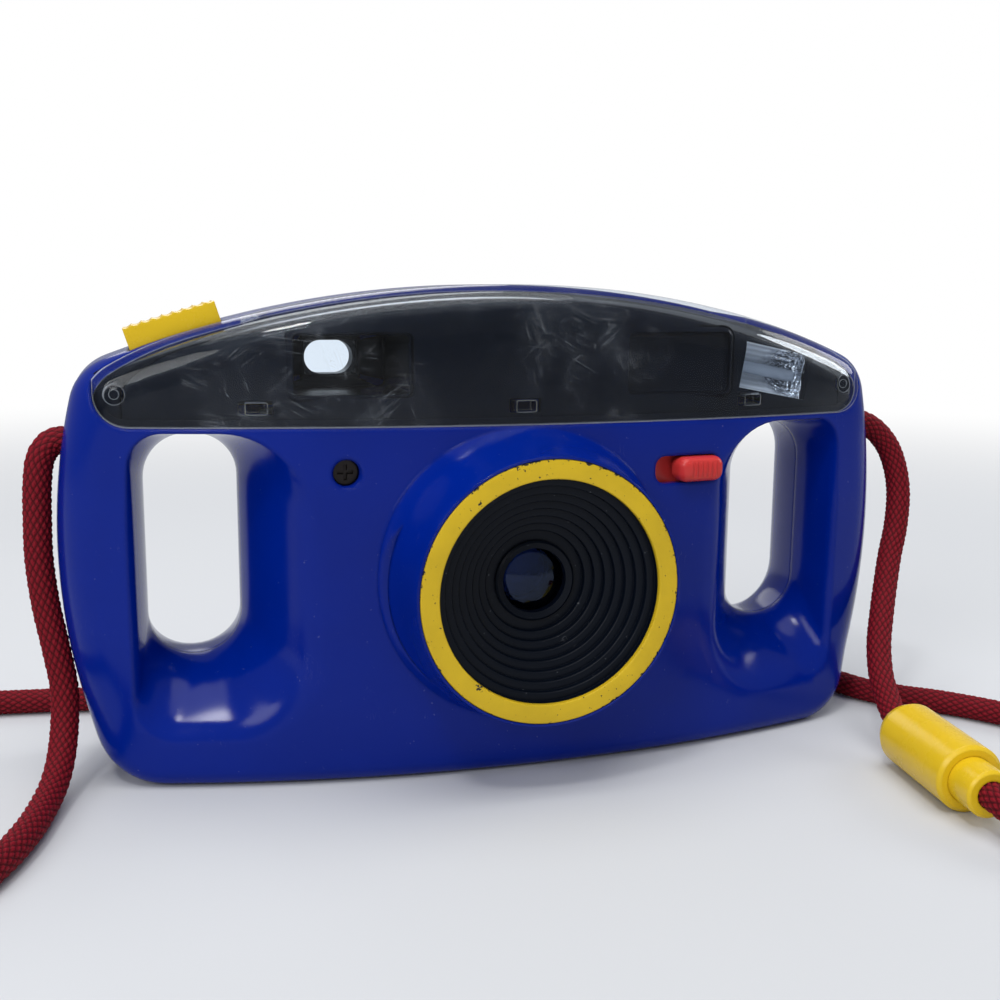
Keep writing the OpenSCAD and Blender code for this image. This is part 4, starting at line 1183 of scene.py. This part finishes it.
@dataclass
class Housing:
    """Front and rear shells, clear cover and black panel, all cut from the body's form."""

    form: BodyForm
    grip: Grip
    crisp: float = 32.0
    grip_wall: float = 1.8
    seam: float = 0.25
    room_past: float = 1.0
    skin_past: float = 3.0
    inside_past: float = 5.0
    slack: float = 0.05
    far: float = 40.0
    tube: tuple = ((0, 44), (29.1, 44), (29.4, 40), (30, 35.4), (30.9, 31), (32.2, 27.6), (33.6, 25.4),
                   (33.6, 23), (0, 23))
    bore: tuple = ((0, 0), (27.3, 0), (27.3, 41.6), (28.6, 41.6), (28.6, 46), (0, 46))
    cover_z: float = 79.6
    cover_half: float = 91.0
    cover_corner: float = 7.0
    cover_wall: float = 1.5
    cover_back: float = -3.0
    cover_cut: float = -10.2
    cover_step: tuple = (54.0, 60.0)  # x where the rear edge starts and ends stepping
    cover_room: float = 60.0
    cover_plan: tuple = (9.0, 8.0, 52.0)  # room beside, below and above
    seat_gap: float = 0.15
    seat_paint: float = 0.3
    ledge: float = 1.6
    clips: tuple = (-58.0, 0.0, 58.0)
    clip_z: float = 83.6
    clip: tuple = (4.4, 2.4, 0.3)  # width, height, corner
    clip_slot: tuple = (7.0, 3.0, 0.4)  # width, height, corner
    boss_at: tuple = (86.6, 86.5)  # x on both sides, z
    boss: float = 2.1
    boss_bore: float = 1.1
    boss_hole: float = 2.3
    boss_depth: tuple = (0.7, 5.3)  # from and to, under the skin
    bore_depth: tuple = (2.0, 6.0)  # from and to, under the skin
    slot_depth: float = 9.0
    panel_wall: float = 1.4
    panel_margin: float = 0.8
    finder: tuple = (37.75, 92.6, 26.0, 14.0)  # x on both sides, z, width, height
    finder_corner: float = 1.6
    finder_wall: float = 1.2
    finder_end: tuple = (14.0, 10.0, 4.0)  # width, height, corner
    tunnel_start: tuple = (-1.0, -0.6)  # outside and inside, from the panel's back
    tunnel_end: float = 12.0
    tunnel_tip: float = 0.5
    end_cut: tuple = (10.0, 20.0)  # y from and to
    recess_wall: float = 1.5
    recess_corner: float = 3.0
    recess_depth: float = 1.8
    recess_back: tuple = (-1.6, 3.0)  # from and to, from the panel's back
    flash: tuple = (65.3, 90.1, 20.5, 11.0, 10.5)  # x, z, width, height, roll in degrees
    flash_sink: float = 0.6
    flash_wall: tuple = (2.0, 0.5, 0.6, 7.6)  # thickness, corner, depth from and to
    flash_mouth: tuple = (-8.0, 30.0)  # depth from and to
    flash_seat: tuple = (0.8, 1.4)  # lip, depth from
    strap_z: float = 75.5
    strap_hole: float = 3.3
    strap_reach: float = 12.0
    button_hole: tuple = (20.6, 13.6, 16.0)  # length, depth, height
    switch_slot: tuple = (17.3, 6.4, 2.5)  # width, height, corner
    slot_reach: float = 6.0
    front_screw: tuple = (-39.7, 69.8)  # x, z
    screw_well: tuple = (2.9, -40.0, -19.5)  # radius, y from and to
    screw_rim: tuple = ((0, 2), (4.9, 2), (3.3, 0), (2.8, -0.9), (0, -0.9))
    case_screws: tuple = ((-91, 42), (91, 42), (-12, 99), (12, 99))
    screw_post: tuple = (3.6, -4.0, 30.0)  # radius, y from and to
    case_well: tuple = (3.1, 4.5, 30.0)  # radius, depth under the back, y to
    hinge: tuple = (47.2, 18.6)  # x, y
    knuckle: tuple = (2.2, 22.5, 54.0)  # radius, heights where the shell's knuckles stop and go on
    door: tuple = (44.6, 11.5, 65.0)  # half width, low, high
    door_cut: tuple = (1.0, 40.0)  # y from and to
    thumb: tuple = (8.0, 1.0, 5.0, 38.0)  # radius, beside the door, behind the back, z
    wheel: tuple = (-24.0, 8.5, 11.5, 67.8, 72.8)  # x, y, radius, low, high
    wheel_gap: float = 0.6
    eye_hole: tuple = (17.4, 13.4, 6.4)  # width, height, corner
    eye_cut: tuple = (11.0, 30.0)  # y from and to

    def region(self, name: str, grow: float) -> Piece:
        """The space that the clear cover takes up, widened by an amount."""
        place = around(0, 0, self.cover_z - grow + self.cover_room / 2)
        space = Bench.slab(name, 2 * (self.cover_half + grow), self.cover_room, self.cover_corner + grow,
                           (-self.cover_room, 0.0), place, 10)
        beside, below, above = self.cover_plan
        wide, deep = self.cover_half + beside, -self.cover_room
        inner, outer = self.cover_step
        cut, back = self.cover_cut + grow, self.cover_back + grow
        right = [(wide, deep), (wide, cut), (outer, cut), (inner, back)]
        edge = [*right, *((-x, y) for x, y in right[::-1])]
        points = [(x, y, z) for z in (self.cover_z - below, self.cover_z + above) for x, y in edge]
        faces = [*strips(2, len(edge)), lid(0, len(edge)), lid(1, len(edge))]
        Bench.carve(space, Cut.KEEP, Bench.mesh("cover_plan", points, faces))
        return space

    def bosses(self, radius: float, depth: tuple, sides: int = 32) -> list[Piece]:
        """A round bar at each of the cover's two bosses, from and to a depth under the skin."""
        x, z = self.boss_at
        y = self.form.front_y(x)
        return [Bench.rod(side * x, z, radius, y + depth[0], y + depth[1], sides) for side in BOTH_SIDES]

    def clip_blocks(self, size: tuple, depth: tuple, rounding: int) -> list[Piece]:
        """A block at each of the cover's clips, from and to a depth under the skin."""
        return [Bench.slab("clip", *size, tuple(self.form.front_y(x) + d for d in depth),
                           around(x, 0, self.clip_z), rounding) for x in self.clips]

    def screw_bars(self, radius: float, start: float, end: float) -> list[Piece]:
        """A round bar at each case screw."""
        return [Bench.rod(x, z, radius, start, end, 32) for x, z in self.case_screws]

    def open_holes(self, shell: Piece) -> None:
        """Cuts the button's opening and the strap's holes, which cross the seam."""
        wide, deep, high = self.button_hole
        place = self.form.button_place()
        Bench.carve(shell, Cut.TAKE, Bench.slab("button_hole", wide, high, 0, (-deep / 2, deep / 2), place))
        for side in BOTH_SIDES:
            hole = Bench.rod(0, 0, self.strap_hole, -self.strap_reach, self.strap_reach, 40)
            hole.data.transform(Matrix.Rotation(math.pi / 2, 4, "Z"))
            at = Vector((side * self.form.half_width, 0, self.strap_z)) * MM
            hole.data.transform(Matrix.Translation(at))
            Bench.carve(shell, Cut.TAKE, hole)

    def front_shell(self, finishes: Finishes) -> None:
        """The front shell with its lens tube, scoops, cover seat, slot and screw hole."""
        form = self.form
        shell = form.half("housing_front", 0.0, False, 0.0, self.seam)
        Bench.carve(shell, Cut.ADD, Bench.lathe("tube", self.tube, LENS_HEIGHT))
        room = form.half("room", form.wall, False, self.room_past)
        Bench.carve(room, Cut.TAKE, *self.grip.pair(self.grip_wall))
        seat = self.region("seat", self.seat_gap)
        below = form.half("under_cover", self.cover_wall + self.slack, False, self.skin_past)
        Bench.carve(seat, Cut.TAKE, below)
        rim = Bench.lathe("screw_rim", self.screw_rim, 0.0, 48)
        rim.data.transform(in_metres(form.on_front(*self.front_screw)))
        slot_place = form.on_front(*form.switch_at)
        Bench.carve(shell, Cut.TAKE, room, *self.grip.pair(0.0),
                    Bench.lathe("bore", self.bore, LENS_HEIGHT), seat, self.region("opening", -self.ledge),
                    Bench.slab("slot", *self.switch_slot, (-self.slot_reach, self.slot_reach), slot_place, 4),
                    Bench.rod(*self.front_screw, *self.screw_well), rim)
        self.open_holes(shell)
        Bench.smooth(shell, self.crisp)
        Bench.fit(shell, "camera", finishes.blue, "blue_plastic", "front_shell")
        shell.data.materials.append(finishes.black)
        for face in shell.data.polygons:
            if all(self.under_cover(shell.data.vertices[i].co / MM) for i in face.vertices):
                face.material_index = 1

    def under_cover(self, at: Vector) -> bool:
        """Whether a point of the front shell lies on the dark seat under the clear cover."""
        near = self.seat_paint
        deep = self.cover_wall - near
        across = abs(at.x) < self.cover_half + near
        upright = self.cover_z - near < at.z < self.form.top_z(at.x) - deep
        return across and upright and self.form.front_y(at.x) + deep < at.y < self.cover_back + near

    def clear_cover(self, finishes: Finishes) -> None:
        """The clear cover: the body's own skin over the panel, with clips and bosses behind it."""
        cover = self.region("cover_clear", 0.0)
        Bench.carve(cover, Cut.KEEP, self.form.half("skin", 0.0, False, self.skin_past))
        Bench.carve(cover, Cut.TAKE, self.form.half("inside", self.cover_wall, False, self.inside_past))
        Bench.carve(cover, Cut.ADD, *self.clip_blocks(self.clip, self.boss_depth, 2),
                    *self.bosses(self.boss, self.boss_depth))
        Bench.carve(cover, Cut.TAKE, *self.bosses(self.boss_bore, self.bore_depth, 24))
        Bench.smooth(cover, self.crisp)
        Bench.fit(cover, "camera", finishes.clear, "clear_plastic", "top_cover")

    def rear_shell(self, finishes: Finishes) -> None:
        """The rear shell with its door opening, hinge knuckles, wheel slot, eyepiece hole and screw wells."""
        form, gap = self.form, self.form.move_gap
        shell = form.half("housing_rear", 0.0, True, 0.0, self.seam)
        room = form.half("room", form.wall, True, -self.room_past)
        Bench.carve(room, Cut.TAKE, *self.grip.pair(self.grip_wall), *self.screw_bars(*self.screw_post))
        Bench.carve(shell, Cut.TAKE, room)
        half_door, low, high = self.door
        radius, gap_low, gap_high = self.knuckle
        Bench.carve(shell, Cut.ADD, Bench.upright(*self.hinge, radius, low, gap_low),
                    Bench.upright(*self.hinge, radius, gap_high, high))
        thumb, beside, behind, thumb_z = self.thumb
        at = Vector((-half_door - beside, form.rear + behind, thumb_z)) * MM
        bpy.ops.object.select_all(action="DESELECT")
        bpy.ops.mesh.primitive_uv_sphere_add(segments=48, ring_count=24, radius=thumb * MM, location=at)
        scoop = bpy.context.active_object
        bpy.ops.object.transform_apply(location=True, rotation=True, scale=True)
        wheel_x, wheel_y, wheel_radius, wheel_low, wheel_high = self.wheel
        finder_x, finder_z = self.finder[:2]
        well, well_depth, well_end = self.case_well
        Bench.carve(shell, Cut.TAKE, *self.grip.pair(0.0),
                    Bench.slab("door_gap", 2 * (half_door + gap), high - low + 2 * gap, 0, self.door_cut,
                               around(0, 0, (low + high) / 2)),
                    Bench.upright(*self.hinge, radius + gap, gap_low - gap / 2, gap_high + gap / 2),
                    scoop,
                    Bench.upright(wheel_x, wheel_y, wheel_radius + self.wheel_gap, wheel_low - gap,
                                  wheel_high + gap),
                    Bench.slab("eye_hole", *self.eye_hole, self.eye_cut, around(-finder_x, 0, finder_z), 10),
                    *self.screw_bars(well, form.rear - well_depth, well_end))
        self.open_holes(shell)
        Bench.smooth(shell, self.crisp)
        Bench.fit(shell, "camera", finishes.blue, "blue_plastic", "rear_shell")

    def funnel(self, grow: float, start: float) -> Piece:
        """The finder's tapering tunnel, widened by an amount."""
        x, z, wide, high = self.finder
        tunnel = Bench.slab("finder_tunnel", wide + 2 * grow, high + 2 * grow, self.finder_corner + grow,
                            (start, self.tunnel_end), Matrix.Identity(4))
        narrow_x = (self.finder_end[0] + 2 * grow) / (wide + 2 * grow)
        narrow_z = (self.finder_end[1] + 2 * grow) / (high + 2 * grow)
        for vertex in tunnel.data.vertices:
            if vertex.co.y > (self.tunnel_end - self.tunnel_tip) * MM:
                vertex.co.x *= narrow_x
                vertex.co.z *= narrow_z
        tunnel.data.transform(Matrix.Translation(Vector((-x, 0, z)) * MM))
        return tunnel

    def black_panel(self, finishes: Finishes) -> None:
        """The black panel under the cover, with the finder's tunnel, a blind recess and the flash opening."""
        form = self.form
        panel = self.region("panel_black", -self.panel_margin)
        back = form.wall + self.panel_wall
        Bench.carve(panel, Cut.KEEP, form.half("skin", form.wall + self.slack, False, self.skin_past))
        Bench.carve(panel, Cut.TAKE, form.half("inside", back, False, self.inside_past))
        x, z, wide, high = self.finder
        face = form.front_y(x) + back
        window_at, recess_at = around(-x, 0, z), around(x, 0, z)
        fx, fz, fw, fh, roll = self.flash
        flash_at = around(fx, form.front_y(fx) + form.wall + self.flash_sink, fz, form.slope(fx), roll)
        thick, corner, wall_start, wall_end = self.flash_wall
        lip, seat_start = self.flash_seat
        rim = 2 * self.recess_wall
        Bench.carve(panel, Cut.ADD, self.funnel(self.finder_wall, face + self.tunnel_start[0]),
                    Bench.slab("recess_back", wide + rim, high + rim, self.recess_corner,
                               tuple(face + d for d in self.recess_back), recess_at),
                    Bench.slab("flash_wall", fw + 2 * thick, fh + 2 * thick, corner, (wall_start, wall_end),
                               flash_at, 3))
        Bench.carve(panel, Cut.TAKE, self.funnel(0.0, face + self.tunnel_start[1]),
                    Bench.slab("finder_mouth", wide, high, self.finder_corner, (-self.far, face), window_at),
                    Bench.slab("finder_end", *self.finder_end, self.end_cut, window_at),
                    Bench.slab("recess", wide, high, self.finder_corner,
                               (-self.far, face + self.recess_depth), recess_at),
                    Bench.slab("flash_mouth", fw, fh, 0, self.flash_mouth, flash_at),
                    Bench.slab("flash_seat", fw + 2 * lip, fh + 2 * lip, 0, (seat_start, self.flash_mouth[1]),
                               flash_at),
                    *self.clip_blocks(self.clip_slot, (0.0, self.slot_depth), 3),
                    *self.bosses(self.boss_hole, (0.0, self.slot_depth)))
        Bench.smooth(panel, self.crisp)
        Bench.fit(panel, "camera", finishes.black, "black_gloss", "viewfinder_mask")

    def build(self, finishes: Finishes) -> None:
        """Builds the shells, the panel and the cover."""
        self.front_shell(finishes)
        self.rear_shell(finishes)
        self.black_panel(finishes)
        self.clear_cover(finishes)


@dataclass
class LensUnit:
    """The painted ring and the stepped hood inside it."""

    face: float = 44.0
    thick: float = 1.2
    rounding: float = 0.35
    rim_steps: int = 4
    hood_steps: int = 8
    hood_inner: float = 9.4
    step_rounding: float = 0.4
    step_share: float = 0.3
    ring_crisp: float = 40.0
    hood_crisp: float = 50.0
    lens_seat: float = 31.0
    lens_bore: float = 8.25
    lens_depth: float = 5.0
    stop: float = 6.4
    barrel: float = 10.6
    barrel_top: float = 2.5
    barrel_end: float = 21.2
    skirt: tuple = (26.9, 5.2)  # radius, depth under the top
    flange: tuple = (28.4, 1.2)  # radius, depth under the top

    def rim(self, edge: float, inwards: int) -> Loop:
        """One rounded rim of the ring, from its side to its face."""
        turns = [math.pi / 2 * k / self.rim_steps for k in range(self.rim_steps + 1)]
        return [(edge + inwards * self.rounding * (1 - math.cos(a)),
                 self.face - self.rounding * (1 - math.sin(a))) for a in turns]

    def ring(self, finishes: Finishes) -> None:
        """The ring with its rounded rims."""
        back = self.face - self.thick
        outer, inner = self.rim(RING_OUTER, -1), self.rim(RING_INNER, 1)
        profile = [(RING_INNER, back), (RING_OUTER, back), *outer, *inner[::-1]]
        ring = Bench.lathe("ring_painted", profile, LENS_HEIGHT, 160, closed=True)
        Bench.smooth(ring, self.ring_crisp)
        Bench.fit(ring, "camera", finishes.ring, "yellow_plastic", "lens_ring")

    def hood(self, finishes: Finishes) -> None:
        """The stepped hood that narrows to the lens, each step with a rounded edge."""
        top = self.face - self.thick
        step_r = (RING_INNER - self.hood_inner) / self.hood_steps
        step_d = (top - self.lens_seat) / self.hood_steps
        soft, turn = self.step_rounding, self.step_share * self.step_rounding
        profile = [(RING_INNER, top)]
        for i in range(self.hood_steps):
            r, d = RING_INNER - i * step_r, top - (i + 1) * step_d
            end = r - step_r
            profile += [(r, d), (end + soft, d), (end + turn, d - turn), (end, d - soft)]
        seat, floor = self.lens_seat, self.lens_seat - self.lens_depth
        (skirt, skirt_end), (flange, flange_end) = self.skirt, self.flange
        profile = profile[:-3] + [
            (self.lens_bore, seat), (self.lens_bore, floor), (self.stop, floor), (self.stop, self.barrel_end),
            (self.barrel, self.barrel_end), (self.barrel, seat - self.barrel_top), (skirt, top - skirt_end),
            (skirt, top - flange_end), (flange, top - flange_end), (flange, top)]
        hood = Bench.lathe("hood_stepped", profile, LENS_HEIGHT, 128, closed=True)
        Bench.smooth(hood, self.hood_crisp)
        Bench.fit(hood, "camera", finishes.matt, "black_matt", "lens_hood")

    def build(self, finishes: Finishes) -> None:
        """Builds the ring and the hood."""
        self.ring(finishes)
        self.hood(finishes)


@dataclass
class Controls:
    """The shutter button and the flash switch, with softened edges."""

    form: BodyForm
    crisp: float = 40.0
    soften_above: float = 35.0
    button_size: tuple = (20.0, 13.0, 4.6)  # length, depth, height above the body
    button_foot: float = -3.0
    button_soft: float = 0.3
    scallops: int = 9
    scallop_pitch: float = 2.3
    scallop_radius: float = 1.9
    scallop_rise: float = 1.45
    scallop_length: float = 40.0
    flange: float = 1.2
    flange_drop: float = 1.0
    switch_size: tuple = (11.8, 5.8, 3.0)  # width, height, height above the front
    switch_corner: float = 2.2
    switch_soft: float = 0.75
    switch_shift: float = 2.6
    ridges: int = 6
    ridge_pitch: float = 1.3
    ridge_shift: float = 0.7
    ridge_radius: float = 0.52
    ridge_rise: float = 0.08
    ridge_length: float = 20.0
    plate: tuple = (20.1, 9.2, 0.4)  # width, height, corner
    plate_thick: float = 1.2
    plate_gap: float = 0.3
    plate_shift: float = -0.45
    overlap: float = 0.2

    def soften(self, piece: Piece, width: float) -> None:
        """Rounds the sharp edges of a piece."""
        Bench.tidy(piece)
        rounder = piece.modifiers.new("soften", "BEVEL")
        rounder.width = width * MM
        rounder.segments = 3
        rounder.limit_method = "ANGLE"
        rounder.angle_limit = math.radians(self.soften_above)
        Bench.only(piece)
        bpy.ops.object.modifier_apply(modifier=rounder.name)
        Bench.smooth(piece, self.crisp)

    def groove(self, at: Point, radius: float, length: float, sides: int, turn: float = 0.0) -> Piece:
        """A round bar to cut a groove with, along Z or turned about X."""
        bpy.ops.object.select_all(action="DESELECT")
        bpy.ops.mesh.primitive_cylinder_add(vertices=sides, radius=radius * MM, depth=length * MM,
                                            rotation=(turn, 0, 0), location=Vector(at) * MM)
        bpy.ops.object.transform_apply(location=True, rotation=True, scale=True)
        return bpy.context.active_object

    def button(self, finishes: Finishes) -> None:
        """The shutter button: a block with a scalloped top, and a flange below."""
        long, deep, proud = self.button_size
        foot = self.button_foot
        middle = around(0, 0, (proud + foot) / 2)
        cap = Bench.slab("button_cap", long, proud - foot, 0, (-deep / 2, deep / 2), middle)
        for i in range(self.scallops):
            at = ((i - (self.scallops - 1) / 2) * self.scallop_pitch, 0, proud + self.scallop_rise)
            groove = self.groove(at, self.scallop_radius, self.scallop_length, 48, math.pi / 2)
            Bench.carve(cap, Cut.TAKE, groove)
        self.soften(cap, self.button_soft)
        flange_z = -self.form.wall - self.form.move_gap - self.flange_drop
        flange = Bench.slab("button_flange", long + 2 * self.flange, self.flange, 0,
                            (-deep / 2, deep / 2 + self.flange), around(0, 0, flange_z))
        Bench.carve(cap, Cut.ADD, flange)
        cap.data.transform(in_metres(self.form.button_place()))
        Bench.fit(cap, "release", finishes.yellow, "yellow_plastic", "shutter_button")

    def switch(self, finishes: Finishes) -> None:
        """The flash switch: a ridged cap on a sliding plate."""
        wide, high, proud = self.switch_size
        plate_y = self.form.wall + self.form.move_gap + self.plate_gap
        cap = Bench.slab("switch_cap", wide, high, self.switch_corner, (-proud, plate_y + self.overlap),
                         around(self.switch_shift, 0, 0), 8)
        self.soften(cap, self.switch_soft)
        middle = self.switch_shift + self.ridge_shift
        for i in range(self.ridges):
            at = (middle + (i - (self.ridges - 1) / 2) * self.ridge_pitch, -proud - self.ridge_rise, 0)
            Bench.carve(cap, Cut.TAKE, self.groove(at, self.ridge_radius, self.ridge_length, 32))
        Bench.smooth(cap, self.crisp)
        plate = Bench.slab("switch_plate", *self.plate, (plate_y, plate_y + self.plate_thick),
                           around(self.plate_shift, 0, 0), 3)
        Bench.carve(cap, Cut.ADD, plate)
        cap.data.transform(in_metres(self.form.on_front(*self.form.switch_at)))
        Bench.fit(cap, "switch", finishes.red, "red_plastic", "flash_switch")

    def build(self, finishes: Finishes) -> None:
        """Builds the controls."""
        self.button(finishes)
        self.switch(finishes)


class Dresser:
    """Gives each node that stays its finish."""

    def __init__(self, finishes: Finishes) -> None:
        """Lists the finish of every record slot."""
        self.by_slot = {
            "blue_plastic": finishes.blue, "clear_plastic": finishes.window, "lens_glass": finishes.glass,
            "black_gloss": finishes.black, "black_matt": finishes.matt, "yellow_plastic": finishes.yellow,
            "battery_jacket": finishes.jacket, "red_plastic": finishes.red, "red_cord": finishes.knot,
            "steel": finishes.steel, "dark_screw": finishes.screw, "reflector": finishes.mirror,
            "board": finishes.board}
        self.by_node = {"flash_tube": finishes.tube}

    def dress(self) -> None:
        """Assigns the finishes."""
        for part in frame["record"]["subparts"]:
            node = frame["nodes"][part["node"]]
            if not node.hide_render:
                node.data.materials.clear()
                node.data.materials.append(self.by_node.get(node.name, self.by_slot[part["material_slot"]]))
                LOG.info("%s keeps its shape", node.name)


def main() -> None:
    """Builds the scene in order."""
    logging.basicConfig(level=logging.INFO, format="%(name)s: %(message)s")
    Photograph().build()
    Studio().build()
    finishes = Finishes()
    Strap().build(finishes)
    form = BodyForm()
    Housing(form, Grip(form)).build(finishes)
    LensUnit().build(finishes)
    Controls(form).build(finishes)
    Dresser(finishes).dress()


if __name__ == "__main__":
    main()
